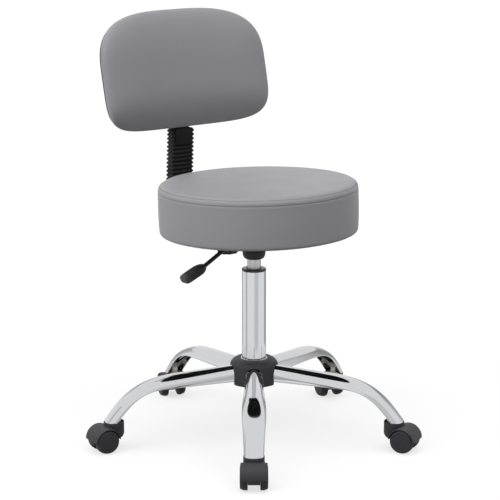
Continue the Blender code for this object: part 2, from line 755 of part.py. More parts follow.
def wheel_profile():
    """A wheel about its axle: closed disc, chamfered rim with its flats on the radius, and a blind bore."""
    rim = WHEEL_RADIUS / math.cos(math.pi / WHEEL_SIDES)
    face = WHEEL_WIDTH / 2
    bore = AXLE_RADIUS + FIT_GAP
    bore_end = -face + AXLE_GRIP + FIT_GAP
    return [
        (0.0, face), (rim - WHEEL_CHAMFER, face), (rim, face - WHEEL_CHAMFER), (rim, -face),
        (bore, -face), (bore, bore_end), (0.0, bore_end),
    ]


def add_casters(root):
    """Five swivelling casters, each turned to its own resting direction."""
    hood = hood_mesh()
    half_axle = WHEEL_OFFSET - WHEEL_WIDTH / 2 + AXLE_GRIP
    flat_down = math.pi / 2 + math.pi / WHEEL_SIDES
    for k, turn in enumerate(CASTER_TURNS):
        number = k + 1
        swivel = (0.0, 0.0, leg_angle(k) + math.radians(turn))
        frame = add_frame(f"caster_{number}_frame", root, stem_place(k), swivel)
        add_part(f"caster_hood_{number}", hood.copy(), frame, "dark_plastic")
        stem = rod_mesh("stem", STEM_RADIUS, (0.0, 0.0, stem_foot_z()), (0.0, 0.0, stem_top_z()))
        add_part(f"caster_stem_{number}", stem, frame, "steel")
        axle = rod_mesh("axle", AXLE_RADIUS, (0.0, -half_axle, 0.0), (0.0, half_axle, 0.0))
        axle_part = add_part(f"caster_axle_{number}", axle, frame, "steel")
        axle_part.location = (CASTER_TRAIL, 0.0, WHEEL_RADIUS)
        profile = wheel_profile()
        for side, way in (("left", 1), ("right", -1)):
            name = f"wheel_{number}_{side}"
            wheel = add_turned(name, profile, frame, "dark_plastic", WHEEL_SIDES, start_angle=flat_down)
            wheel.location = (CASTER_TRAIL, way * WHEEL_OFFSET, WHEEL_RADIUS)
            wheel.rotation_euler.x = -way * math.pi / 2


# Gas lift and seat support

def add_gas_lift(root):
    """The rod that turns on the bearing, and the tube, button and socket that rise with the seat."""
    rod_frame = add_frame("swivel_frame", root)
    piston_top = TUBE_Z + TUBE_END + STROKE + PISTON_MARGIN
    foot_top = ROD_FOOT_Z + ROD_FOOT_HEIGHT
    tail = COLUMN_Z - ROD_TAIL
    tube_inner = TUBE_RADIUS - TUBE_WALL
    piston = tube_inner - FIT_GAP
    rod = [
        (0.0, piston_top), (piston, piston_top), (piston, piston_top - PISTON_HEIGHT),
        (ROD_RADIUS, piston_top - PISTON_HEIGHT), (ROD_RADIUS, foot_top), (ROD_FOOT_RADIUS, foot_top),
        (ROD_FOOT_RADIUS, ROD_FOOT_Z), (ROD_RADIUS, ROD_FOOT_Z), (ROD_RADIUS, tail), (0.0, tail),
    ]
    add_turned("piston_rod", rod, rod_frame, "steel", SMALL_SIDES)
    clip_radii = (ROD_RADIUS + FIT_GAP, CLIP_RADIUS)
    clip_z = COLUMN_Z - FIT_GAP - CLIP_HEIGHT
    add_ring("rod_clip", clip_radii, clip_z, CLIP_HEIGHT, rod_frame, "steel")

    seat = add_frame("seat_frame", rod_frame)
    pocket = BUTTON_RADIUS + FIT_GAP
    pocket_z = TUBE_TOP_Z - BUTTON_POCKET
    rod_hole = ROD_RADIUS + FIT_GAP
    bore_top = TUBE_TOP_Z - TUBE_PLUG
    tube = [
        (0.0, pocket_z), (pocket, pocket_z), (pocket, TUBE_TOP_Z), (tube_inner, TUBE_TOP_Z),
        (TUBE_RADIUS, TUBE_TOP_Z - TUBE_WALL), (TUBE_RADIUS, TUBE_Z), (rod_hole, TUBE_Z),
        (rod_hole, TUBE_Z + TUBE_END), (tube_inner, TUBE_Z + TUBE_END), (tube_inner, bore_top),
        (0.0, bore_top),
    ]
    add_turned("pressure_tube", tube, seat, "steel", COLUMN_SIDES)
    button_top = SEAT_Z - LEVER_TIP_DROP - LEVER_ROD_RADIUS - RUN_GAP
    crown = BUTTON_RADIUS / 2
    button = [
        (0.0, button_top), (crown, button_top), (BUTTON_RADIUS, button_top - crown),
        (BUTTON_RADIUS, button_top - BUTTON_LENGTH), (0.0, button_top - BUTTON_LENGTH),
    ]
    add_turned("valve_button", button, seat, "steel", SMALL_SIDES)
    cup_top = SEAT_Z + PLATE_UNDER - SOCKET_CUP_RADIUS * math.sin(SEAT_TILT) - FIT_GAP
    bore = TUBE_RADIUS + FIT_GAP
    shoulder = SOCKET_CUP_FOOT + (SOCKET_CUP_RADIUS - SOCKET_CUP_FOOT) * SOCKET_SHOULDER_OUT
    cup = [
        (SOCKET_CUP_RADIUS, cup_top), (SOCKET_CUP_RADIUS, SOCKET_Z + SOCKET_CUP_ROUND),
        (shoulder, SOCKET_Z + SOCKET_CUP_ROUND * SOCKET_SHOULDER_UP), (SOCKET_CUP_FOOT, SOCKET_Z),
        (bore, SOCKET_Z), (bore, cup_top),
    ]
    socket = add_turned("taper_socket", cup, seat, "black_steel", COLUMN_SIDES, loop=True)
    slot_low = (-2 * SOCKET_CUP_RADIUS, -LEVER_SLOT / 2, cup_top - LEVER_SLOT_DEPTH)
    slot_high = (0.0, LEVER_SLOT / 2, cup_top + LEVER_SLOT_DEPTH)
    combine(socket, box_mesh("lever_slot", slot_low, slot_high), "DIFFERENCE")
    return seat


def add_seat_plate(tilt):
    """Pressed plate with turned-down sides, and the ears and pin of the lever."""
    half = PLATE_WIDTH / 2
    flange_bottom = PLATE_TOP - PLATE_FLANGE
    blank = box_mesh("plate", (-half, -PLATE_FRONT, flange_bottom), (half, PLATE_REAR, PLATE_TOP))
    plate = add_part("seat_plate", blank, tilt, "black_steel")
    inner = half - PLATE_SHEET
    hollow_low = (-inner, -PLATE_FRONT - half, flange_bottom - PLATE_FLANGE)
    hollow_high = (inner, PLATE_REAR + half, PLATE_UNDER)
    combine(plate, box_mesh("plate_hollow", hollow_low, hollow_high), "DIFFERENCE")
    pivot_z = -LEVER_PIVOT_DROP
    ear_foot = pivot_z - EAR_WIDTH / 2
    for side in (-1, 1):
        near = side * EAR_SPACE / 2
        far = side * (EAR_SPACE / 2 + EAR_SHEET)
        low = (-LEVER_PIVOT_OUT - EAR_WIDTH / 2, min(near, far), ear_foot)
        high = (-LEVER_PIVOT_OUT + EAR_WIDTH / 2, max(near, far), PLATE_UNDER + PLATE_SHEET / 2)
        combine(plate, box_mesh("lever_ear", low, high), "UNION")
    pin_half = EAR_SPACE / 2 + EAR_SHEET / 2
    pin_ends = ((-LEVER_PIVOT_OUT, -pin_half, pivot_z), (-LEVER_PIVOT_OUT, pin_half, pivot_z))
    combine(plate, rod_mesh("lever_pin", PIN_RADIUS, *pin_ends), "UNION")


def add_lever(tilt):
    """Bent lever rod with a pivot barrel, and the paddle on its end. The frame is on the pivot."""
    frame = add_frame("lever_frame", tilt, (-LEVER_PIVOT_OUT, 0.0, -LEVER_PIVOT_DROP))
    tip = Vector((LEVER_PIVOT_OUT - LEVER_TIP_OUT, LEVER_PIVOT_DROP - LEVER_TIP_DROP))
    bend = Vector((LEVER_PIVOT_OUT - LEVER_BEND_OUT, LEVER_PIVOT_DROP - LEVER_BEND_DROP))
    slope = Vector((-math.cos(PADDLE_SLOPE), -math.sin(PADDLE_SLOPE)))
    end = bend + slope * PADDLE_GRIP
    pivot = Vector((0.0, 0.0))
    path = rounded_path([tip, pivot, bend, end], [LEVER_BEND_RADIUS, LEVER_BEND_RADIUS], LEVER_BEND_STEPS)
    wire = wire_mesh("lever", [(p.x, 0.0, p.y) for p in path], LEVER_ROD_RADIUS)
    rod = add_part("lever_rod", wire, frame, "black_steel")
    barrel_half = EAR_SPACE / 2 - RUN_GAP
    barrel_ends = ((0.0, -barrel_half, 0.0), (0.0, barrel_half, 0.0))
    combine(rod, rod_mesh("barrel", LEVER_BARREL_RADIUS, *barrel_ends, BARREL_SIDES), "UNION")
    bore_half = EAR_SPACE
    bore = rod_mesh("barrel_bore", PIN_RADIUS + FIT_GAP, (0.0, -bore_half, 0.0), (0.0, bore_half, 0.0))
    combine(rod, bore, "DIFFERENCE")

    paddle_low = (0.0, -PADDLE_WIDTH / 2, -PADDLE_THICKNESS / 2)
    paddle_high = (PADDLE_LENGTH, PADDLE_WIDTH / 2, PADDLE_THICKNESS / 2)
    paddle = add_part("lever_paddle", box_mesh("paddle", paddle_low, paddle_high), frame, "black_plastic")
    paddle.location = (bend.x, 0.0, bend.y)
    paddle.rotation_euler = (0.0, PADDLE_SLOPE, math.pi)
    rounding = paddle.modifiers.new("rounding", "BEVEL")
    rounding.width = PADDLE_ROUND
    rounding.segments = 2
    rounding.limit_method = "NONE"
    hole_end = (PADDLE_GRIP + FIT_GAP, 0.0, 0.0)
    hole = rod_mesh("paddle_hole", LEVER_ROD_RADIUS + FIT_GAP, (-PADDLE_GRIP, 0.0, 0.0), hole_end)
    combine(paddle, hole, "DIFFERENCE")


# Seat pad

def seat_profile():
    """Upholstered pad: crown, rounded edge, pinched seam, tapering side, rounded foot and board recess."""
    edge = SEAT_RADIUS - SEAT_TOP_ROUND
    brow = SEAT_SEAM_HEIGHT + SEAT_TOP_ROUND
    points = [(edge * share, brow + SEAT_CROWN * (1 - share ** 2)) for share in SEAT_CROWN_SHARES]
    for k in range(SEAT_EDGE_STEPS + 1):
        angle = math.pi / 2 * k / SEAT_EDGE_STEPS
        height = SEAT_SEAM_HEIGHT + SEAT_TOP_ROUND * math.cos(angle)
        points.append((edge + SEAT_TOP_ROUND * math.sin(angle), height))
    pinch_half = 2 * SEAT_SEAM_PINCH
    points.append((SEAT_RADIUS - SEAT_SEAM_PINCH, SEAT_SEAM_HEIGHT - pinch_half))
    points.append((SEAT_RADIUS, SEAT_SEAM_HEIGHT - 2 * pinch_half))
    points.append((SEAT_RADIUS - SEAT_TAPER / 2, SEAT_SEAM_HEIGHT / 2))
    foot = SEAT_RADIUS - SEAT_TAPER - SEAT_FOOT_ROUND
    for k in range(SEAT_EDGE_STEPS + 1):
        angle = math.pi / 2 * k / SEAT_EDGE_STEPS
        points.append((foot + SEAT_FOOT_ROUND * math.cos(angle), SEAT_FOOT_ROUND * (1 - math.sin(angle))))
    recess = BOARD_RADIUS + FIT_GAP
    ceiling = 2 * FIT_GAP + BOARD_THICKNESS
    points += [(recess, 0.0), (recess, ceiling), (0.0, ceiling)]
    return points


def add_seat_pad(tilt):
    """Cushion, board and underside cover, set forward of the column."""
    middle = add_frame("seat_pad_frame", tilt, (0.0, -SEAT_FORWARD, 0.0))
    add_turned("seat_cushion", seat_profile(), middle, "vinyl", SEAT_SIDES)
    board_ends = ((0.0, 0.0, FIT_GAP), (0.0, 0.0, FIT_GAP + BOARD_THICKNESS))
    board = rod_mesh("board", BOARD_RADIUS, *board_ends, SEAT_SIDES)
    add_part("seat_board", board, middle, "plywood")
    cover_ends = ((0.0, 0.0, DUST_COVER_TOP - DUST_COVER_THICKNESS), (0.0, 0.0, DUST_COVER_TOP))
    cover = rod_mesh("cover", DUST_COVER_RADIUS, *cover_ends, SEAT_SIDES)
    add_part("dust_cover", cover, middle, "dust_cloth")


# Back bar

def bar_path():
    """Middle line of the back bar in the tilted frame: (rearward, up) points."""
    corner = Vector((BAR_REACH, -BAR_DROP))
    top_bend = corner + Vector((-math.tan(BAR_LEAN), 1.0)) * BAR_UPRIGHT
    end = top_bend + Vector((math.sin(BACK_RECLINE), math.cos(BACK_RECLINE))) * BAR_TOP
    corners = [Vector((BAR_START, -BAR_DROP)), corner, top_bend, end]
    return rounded_path(corners, [BAR_BEND_RADIUS, BAR_TOP_BEND_RADIUS], BAR_BEND_STEPS)


def back_place():
    """Middle of the back on the bar's upper line, in the tilted frame."""
    along = Vector((math.sin(BACK_RECLINE), math.cos(BACK_RECLINE)))
    top_bend = Vector((BAR_REACH - math.tan(BAR_LEAN) * BAR_UPRIGHT, BAR_UPRIGHT - BAR_DROP))
    return top_bend + along * BACK_CENTRE


def path_frames(path):
    """The path's points with the direction of travel at each."""
    frames = []
    for k, point in enumerate(path):
        before = path[max(k - 1, 0)]
        after = path[min(k + 1, len(path) - 1)]
        arrive = (point - before).normalized() if k > 0 else (after - point).normalized()
        leave = (after - point).normalized() if k < len(path) - 1 else arrive
        frames.append((point, (arrive + leave).normalized()))
    return frames


def add_back_bar(tilt):
    """Flat bar bent up behind the seat, on the line that it slides along."""
    slide = add_frame("back_slide_frame", tilt)
    half = BAR_THICKNESS / 2
    near, far = [], []
    for point, along in path_frames(bar_path()):
        aside = Vector((-along.y, along.x)) * half
        near.append(point + aside)
        far.append(point - aside)
    bar = add_part("back_bar", outline_mesh("bar", near + far[::-1], BAR_WIDTH / 2), slide, "black_steel")
    bar.rotation_euler.z = math.pi / 2
    add_bellows(slide)
    return slide


def at_height(path, height):
    """The point where a path first rises through a height."""
    for first, second in zip(path, path[1:]):
        if first.y <= height <= second.y and first.y < second.y:
            return first.lerp(second, (height - first.y) / (second.y - first.y))
    return path[-1]


def bellows_stations():
    """Points and directions along the bar's upright, from its bend to under the back, two for each rib."""
    path = bar_path()
    foot = BAR_BEND_RADIUS * math.tan((math.pi / 2 + BAR_LEAN) / 2) + BELLOWS_RIB_DEPTH
    low = -BAR_DROP + foot * math.cos(BAR_LEAN)
    under_back = BACK_HEIGHT / 2 + RUN_GAP
    high = back_place().y - under_back * math.cos(BACK_RECLINE)
    between = [point for point in path if low < point.y < high]
    return spaced([at_height(path, low)] + between + [at_height(path, high)], 2 * BELLOWS_RIBS + 1)


def spaced(line, count):
    """Points at even steps along a line of points, with their directions."""
    lengths = [0.0]
    for first, second in zip(line, line[1:]):
        lengths.append(lengths[-1] + (second - first).length)
    points = []
    for k in range(count):
        target = lengths[-1] * k / (count - 1)
        leg = max(j for j in range(len(line) - 1) if lengths[j] <= target + 1e-9)
        share = (target - lengths[leg]) / (lengths[leg + 1] - lengths[leg])
        points.append(line[leg].lerp(line[leg + 1], share))
    return path_frames(points)


def sleeve_row(point, along, width, depth, corner):
    """A rounded rectangle across the bar's line, in the tilted frame."""
    aside = Vector((along.y, -along.x))
    row = []
    for quarter in range(4):
        middle_x = (width / 2 - corner) * (1 if quarter in (0, 3) else -1)
        middle_d = (depth / 2 - corner) * (1 if quarter in (0, 1) else -1)
        for k in range(BELLOWS_CORNER_STEPS + 1):
            angle = math.pi / 2 * (quarter + k / BELLOWS_CORNER_STEPS)
            rear = middle_d + corner * math.sin(angle)
            place = point + aside * rear
            row.append((middle_x + corner * math.cos(angle), place.x, place.y))
    return row


def add_bellows(slide):
    """Folded sleeve over the bar's upright, hollow, with a cuff at each end."""
    stations = bellows_stations()
    rows = []
    for k, (point, along) in enumerate(stations):
        fold = 2 * BELLOWS_RIB_DEPTH if k % 2 else 0.0
        rows.append(sleeve_row(point, along, BELLOWS_WIDTH - fold, BELLOWS_DEPTH - fold, BELLOWS_CORNER))
    folds = loft_mesh("bellows", rows, closed=True, capped=True)
    bellows = add_part("bellows", folds, slide, "bellows_rubber")
    thin = 2 * (BELLOWS_RIB_DEPTH + BELLOWS_WALL)
    inside = trimmed(stations, BELLOWS_CUFF)
    hollow = [sleeve_row(p, a, BELLOWS_WIDTH - thin, BELLOWS_DEPTH - thin, BELLOWS_WALL) for p, a in inside]
    combine(bellows, loft_mesh("bellows_hollow", hollow, closed=True, capped=True), "DIFFERENCE")
    through = trimmed(stations, -BELLOWS_CUFF)
    gap = 2 * RUN_GAP
    slot = [sleeve_row(p, a, BAR_WIDTH + gap, BAR_THICKNESS + gap, FIT_GAP) for p, a in through]
    combine(bellows, loft_mesh("bellows_slot", slot, closed=True, capped=True), "DIFFERENCE")


def trimmed(stations, amount):
    """Every second station, with the line shortened by an amount at both ends."""
    kept = stations[::2]
    (first, first_along), (last, last_along) = kept[0], kept[-1]
    start = (first + first_along * amount, first_along)
    end = (last - last_along * amount, last_along)
    return [start] + kept[1:-1] + [end]


def add_bar_clamp(tilt):
    """Sleeve under the seat plate that the bar slides in, and the knob that clamps it."""
    half = BAR_WIDTH / 2 + RUN_GAP + CLAMP_WALL
    block = box_mesh("clamp", (-half, CLAMP_FRONT, CLAMP_BOTTOM), (half, CLAMP_REAR, PLATE_UNDER - FIT_GAP))
    clamp = add_part("bar_clamp", block, tilt, "black_steel")
    slot_half = BAR_WIDTH / 2 + RUN_GAP
    slot_rise = BAR_THICKNESS / 2 + RUN_GAP
    slot_low = (-slot_half, CLAMP_FRONT - half, -BAR_DROP - slot_rise)
    slot_high = (slot_half, CLAMP_REAR + half, -BAR_DROP + slot_rise)
    combine(clamp, box_mesh("bar_slot", slot_low, slot_high), "DIFFERENCE")
    hole_low = (0.0, DEPTH_KNOB_REACH, CLAMP_BOTTOM - CLAMP_FLOOR)
    hole_high = (0.0, DEPTH_KNOB_REACH, -BAR_DROP)
    combine(clamp, rod_mesh("knob_hole", SCREW_RADIUS + FIT_GAP, hole_low, hole_high), "DIFFERENCE")

    frame = add_frame("depth_knob_frame", tilt, (0.0, DEPTH_KNOB_REACH, 0.0))
    screw = (-BAR_DROP - BAR_THICKNESS / 2 - RUN_GAP, CLAMP_BOTTOM - RUN_GAP)
    neck = (DEPTH_KNOB_NECK_RADIUS, DEPTH_KNOB_NECK)
    add_knob("depth_knob", frame, screw, neck, (DEPTH_KNOB_RADIUS, DEPTH_KNOB_HEIGHT))


def add_knob(name, frame, screw, neck, head):
    """A clamp knob about Z, pointing up: the screw's tip and seat, then neck and head by radius and height."""
    tip, seat = screw
    neck_radius, neck_height = neck
    radius, height = head
    top = seat - neck_height
    bottom = top - height
    edge = height * KNOB_EDGE_SHARE
    points = [
        (0.0, tip), (SCREW_RADIUS, tip), (SCREW_RADIUS, seat), (neck_radius, seat), (neck_radius, top),
        (radius - edge, top), (radius, top - edge), (radius, bottom + edge), (radius - edge, bottom),
        (0.0, bottom),
    ]
    return add_turned(name, points, frame, "black_plastic", KNOB_SIDES)


# Back

def squareness(up):
    """Exponent of the back's outline, rounder above the middle than below it."""
    return BACK_TOP_SQUARENESS if up > 0 else BACK_SQUARENESS


def back_outline(inset):
    """The back's outline, with rounder upper corners, drawn in by an inset: (across, up) points."""
    half_width = BACK_WIDTH / 2 - inset
    half_height = BACK_HEIGHT / 2 - inset
    outline = []
    for k in range(BACK_POINTS):
        angle = 2 * math.pi * k / BACK_POINTS
        power = 2 / squareness(math.sin(angle))
        across = signed_power(math.cos(angle), power)
        up = signed_power(math.sin(angle), power)
        outline.append((across * half_width, up * half_height))
    return outline


def wrapped(across, depth, up):
    """A point of the back, with its ends brought forward round the sitter."""
    return (across, depth - BACK_WRAP * (2 * across / BACK_WIDTH) ** 2, up)


def pad_mesh(name, rings):
    """A closed pad from rings of (inset, depth), where an inset of None is the middle."""
    rows = []
    for inset, depth in rings:
        outline = [(0.0, 0.0)] if inset is None else back_outline(inset)
        rows.append([wrapped(across, depth, up) for across, up in outline])
    return loft_mesh(name, rows, closed=True)


def add_back_pad(back):
    """Back cushion with a crowned front and drawn-in edges, and the board behind it."""
    rings = BACK_PAD_REAR + BACK_PAD_EDGE + BACK_PAD_FRONT
    cushion = [(inset, PAD_REAR - BACK_PAD * share) for inset, share in rings]
    add_part("back_cushion", pad_mesh("back_pad", cushion), back, "vinyl")
    board_front = PAD_REAR + FIT_GAP
    board_rear = board_front + BACK_BOARD
    insets = BACK_BOARD_RINGS + (BACK_BOARD_INSET,)
    board = [(inset, board_front) for inset in insets] + [(inset, board_rear) for inset in insets[::-1]]
    add_part("back_board", pad_mesh("back_board", board), back, "plywood")


def shell_depth(across, up, reach):
    """Depth of the shell's inside: a rounded edge, and a housing for the bar that opens at the bottom."""
    fade = (abs(across) - SHELL_HOUSING_WIDTH / 2) / SHELL_HOUSING_FADE
    housing = 1 - ease(fade)
    low_part = 1 - ease((up - SHELL_HOUSING_RISE) / SHELL_HOUSING_RUNOUT)
    edge = ease((1 - reach) / SHELL_RIM)
    if up < 0:
        edge = max(edge, housing)
    rim = PAD_REAR + FIT_GAP
    room = BRACKET_DEPTH / 2 + SHELL_WALL - rim - SHELL_EDGE
    return rim + SHELL_EDGE * edge + room * housing * low_part


def add_back_shell(back):
    """Rear cover as a moulded sheet, with a hole for the height knob's screw."""
    columns = SHELL_COLUMNS[::-1] + (0.0,) + tuple(-share for share in SHELL_COLUMNS)
    rows = []
    for up in SHELL_ROWS:
        row = []
        for across in columns:
            reach = max(abs(across), abs(up))
            if reach == 0.0:
                pull = 1.0
            else:
                power = squareness(up)
                pull = (abs(across / reach) ** power + abs(up / reach) ** power) ** (-1 / power)
            x = across * pull * (BACK_WIDTH / 2 - SHELL_INSET)
            z = up * pull * (BACK_HEIGHT / 2 - SHELL_INSET)
            row.append(wrapped(x, shell_depth(x, up, reach), z))
        rows.append(row)
    inside = loft_mesh("shell", rows, closed=False, point_out=False)
    shell = add_part("back_shell", inside, back, "black_plastic")
    sheet = shell.modifiers.new("sheet", "SOLIDIFY")
    sheet.thickness = SHELL_WALL
    sheet.offset = 1.0
    sheet.use_even_offset = True
    hole_start = (0.0, 0.0, -HEIGHT_KNOB_DROP)
    hole_end = (0.0, BRACKET_DEPTH * 2, -HEIGHT_KNOB_DROP)
    hole = rod_mesh("shell_hole", SCREW_RADIUS + SHELL_HOLE_GAP, hole_start, hole_end)
    combine(shell, hole, "DIFFERENCE")


def add_back_bracket(back):
    """Sleeve that slides on the bar, with ears on the board and a hole for the height knob's screw."""
    half_depth = BRACKET_DEPTH / 2
    low = (-BRACKET_WIDTH / 2, -half_depth, -BRACKET_LOW)
    high = (BRACKET_WIDTH / 2, half_depth, -BRACKET_HIGH)
    bracket = add_part("back_bracket", box_mesh("bracket", low, high), back, "black_steel")
    ear_step = BRACKET_EAR_SHEET
    ear_low = (-BRACKET_EARS / 2, -half_depth, -BRACKET_LOW + ear_step)
    ear_high = (BRACKET_EARS / 2, -half_depth + BRACKET_EAR_SHEET, -BRACKET_HIGH - ear_step)
    combine(bracket, box_mesh("bracket_ears", ear_low, ear_high), "UNION")
    slot_half = BAR_WIDTH / 2 + RUN_GAP
    slot_rise = BAR_THICKNESS / 2 + RUN_GAP
    slot_low = (-slot_half, -slot_rise, -BRACKET_LOW - BRACKET_DEPTH)
    slot_high = (slot_half, slot_rise, -BRACKET_HIGH + BRACKET_DEPTH)
    combine(bracket, box_mesh("bracket_slot", slot_low, slot_high), "DIFFERENCE")
    hole_start = (0.0, 0.0, -HEIGHT_KNOB_DROP)
    hole_end = (0.0, BRACKET_DEPTH, -HEIGHT_KNOB_DROP)
    combine(bracket, rod_mesh("bracket_hole", SCREW_RADIUS + FIT_GAP, hole_start, hole_end), "DIFFERENCE")


def add_back(slide):
    """The back on its own frame: +Y to the rear and +Z up along the bar."""
    place = back_place()
    back = add_frame("back_frame", slide, (0.0, place.x, place.y), (-BACK_RECLINE, 0.0, 0.0))
    add_back_pad(back)
    add_back_shell(back)
    add_back_bracket(back)
    knob_frame = add_frame("height_knob_frame", back, (0.0, 0.0, -HEIGHT_KNOB_DROP), (math.pi / 2, 0.0, 0.0))
    screw = (-BAR_THICKNESS / 2 - RUN_GAP, -BRACKET_DEPTH / 2 - 2 * SHELL_WALL - RUN_GAP)
    neck = (HEIGHT_KNOB_RADIUS / 2, SHELL_WALL)
    add_knob("height_knob", knob_frame, screw, neck, (HEIGHT_KNOB_RADIUS, HEIGHT_KNOB_HEIGHT))


def centre_on_floor(root):
    """Move the stool so that the origin is on the floor under the middle of its box."""
    bpy.context.view_layer.update()
    depsgraph = bpy.context.evaluated_depsgraph_get()
    points = []
    for part in PARTS.objects:
        if part.type == "MESH":
            solid = part.evaluated_get(depsgraph)
            points += [solid.matrix_world @ vertex.co for vertex in solid.data.vertices]
    for axis in range(2):
        places = [point[axis] for point in points]
        root.location[axis] = -(min(places) + max(places)) / 2
    bpy.context.view_layer.update()


def main():
    """Build the stool from the floor up."""
    root = add_frame("stool_frame")
    add_base(root)
    add_casters(root)
    seat = add_gas_lift(root)
    tilt = add_frame("seat_tilt_frame", seat, (0.0, 0.0, SEAT_Z), (-SEAT_TILT, 0.0, 0.0))
    add_seat_plate(tilt)
    add_lever(tilt)
    add_seat_pad(tilt)
    add_bar_clamp(tilt)
    slide = add_back_bar(tilt)
    add_back(slide)
    centre_on_floor(root)


main()
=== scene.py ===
"""Dressed medical stool with a backrest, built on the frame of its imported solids.

Metres, +Z up. The sitter faces -Y, so the height lever on the sitter's right is on the -X side. Each class is one
sub-assembly of the stool: it holds its sizes, makes its meshes and sets them on the bodies that carry them.
"""

import json
import logging
import math
from dataclasses import dataclass
from enum import Enum
from typing import Callable, Iterable, Optional, Sequence

import bmesh
import bpy
from mathutils import Matrix, Vector
from mathutils.kdtree import KDTree

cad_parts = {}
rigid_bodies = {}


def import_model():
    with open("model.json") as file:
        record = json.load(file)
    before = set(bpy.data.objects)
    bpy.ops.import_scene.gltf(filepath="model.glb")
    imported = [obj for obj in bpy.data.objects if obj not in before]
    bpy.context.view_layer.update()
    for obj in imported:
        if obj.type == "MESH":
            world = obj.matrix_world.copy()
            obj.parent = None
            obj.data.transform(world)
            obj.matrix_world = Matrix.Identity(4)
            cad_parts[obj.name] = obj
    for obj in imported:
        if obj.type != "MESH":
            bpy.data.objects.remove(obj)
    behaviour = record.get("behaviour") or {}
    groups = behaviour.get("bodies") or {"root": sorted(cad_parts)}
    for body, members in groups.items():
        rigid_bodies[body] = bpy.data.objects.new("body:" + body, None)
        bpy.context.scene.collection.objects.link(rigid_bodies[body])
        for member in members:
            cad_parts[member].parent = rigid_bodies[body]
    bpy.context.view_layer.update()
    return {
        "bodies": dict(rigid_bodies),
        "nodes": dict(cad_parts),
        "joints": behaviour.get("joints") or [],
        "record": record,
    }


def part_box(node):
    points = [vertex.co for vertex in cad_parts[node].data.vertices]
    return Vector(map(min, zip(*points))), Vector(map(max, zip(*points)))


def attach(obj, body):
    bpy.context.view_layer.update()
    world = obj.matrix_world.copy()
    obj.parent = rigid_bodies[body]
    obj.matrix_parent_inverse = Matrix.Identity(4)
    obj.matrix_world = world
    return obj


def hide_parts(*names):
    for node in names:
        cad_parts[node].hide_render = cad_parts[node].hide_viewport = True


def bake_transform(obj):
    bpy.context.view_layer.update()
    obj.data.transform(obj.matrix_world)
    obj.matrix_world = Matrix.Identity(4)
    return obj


LOG = logging.getLogger("stool")
SMOOTH_ANGLE = math.radians(38)
PAD_SMOOTH_ANGLE = math.radians(60)
FIT_GAP = 0.0003
RUN_GAP = 0.0005
WELD_DISTANCE = 1e-6
CUT_DISTANCE = 1e-7
TINY = 1e-9
SOCKETS = {"Vector": "NodeSocketVector", "Normal": "NodeSocketVector", "Colour": "NodeSocketColor"}

Mesh = bpy.types.Mesh
Material = bpy.types.Material
Piece = bpy.types.Object
Socket = bpy.types.NodeSocket
Tree = bpy.types.NodeTree
Colour = tuple[float, float, float]
Point = tuple[float, float, float]
Profile = Sequence[tuple[float, float]]
Row = Sequence[Sequence[float]]


class Slot(Enum):
    """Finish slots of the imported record."""

    CHROME = "chrome"
    STEEL = "steel"
    BLACK_STEEL = "black_steel"
    DARK_PLASTIC = "dark_plastic"
    BLACK_PLASTIC = "black_plastic"
    BELLOWS_RUBBER = "bellows_rubber"
    VINYL = "vinyl"
    PLYWOOD = "plywood"
    DUST_CLOTH = "dust_cloth"


class Relief(Enum):
    """Kinds of fine surface relief."""

    PEBBLE = "pebble"
    SPECK = "speck"
    RIPPLE = "ripple"
    FIBRE = "fibre"
    GRAIN = "grain"


class Side(Enum):
    """The two wheels of a caster, and the way each lies along the axle."""

    LEFT = ("left", 1)
    RIGHT = ("right", -1)


# Meshes

def written(bm: bmesh.types.BMesh, mesh: Mesh, outward: bool = True) -> Mesh:
    """Write a bmesh into a mesh and free it.

    Args:
        bm: The shape.
        mesh: The mesh to fill.
        outward: Whether to turn the faces of a closed shape outwards.

    Returns:
        The mesh.
    """
    if outward:
        bm.normal_update()
        bmesh.ops.recalc_face_normals(bm, faces=bm.faces)
    bm.to_mesh(mesh)
    bm.free()
    return mesh


def finished(name: str, bm: bmesh.types.BMesh, outward: bool = True) -> Mesh:
    """Turn a bmesh into a new mesh, and the faces of a closed shape outwards."""
    return written(bm, bpy.data.meshes.new(name), outward)


def linked(name: str, data: bpy.types.ID) -> Piece:
    """Put a mesh, lamp or camera on a new object in the scene.

    Args:
        name: Name of the object.
        data: What it shows.

    Returns:
        The object.
    """
    piece = bpy.data.objects.new(name, data)
    bpy.context.scene.collection.objects.link(piece)
    return piece


def ring(radius: float, height: float, sides: int) -> list[Point]:
    """Points of a level circle about Z."""
    angles = [2 * math.pi * k / sides for k in range(sides)]
    return [(radius * math.cos(a), radius * math.sin(a), height) for a in angles]


def quarter(steps: int) -> list[tuple[float, float]]:
    """Cosine and sine at even steps through a right angle."""
    angles = [math.pi / 2 * k / steps for k in range(steps + 1)]
    return [(math.cos(a), math.sin(a)) for a in angles]


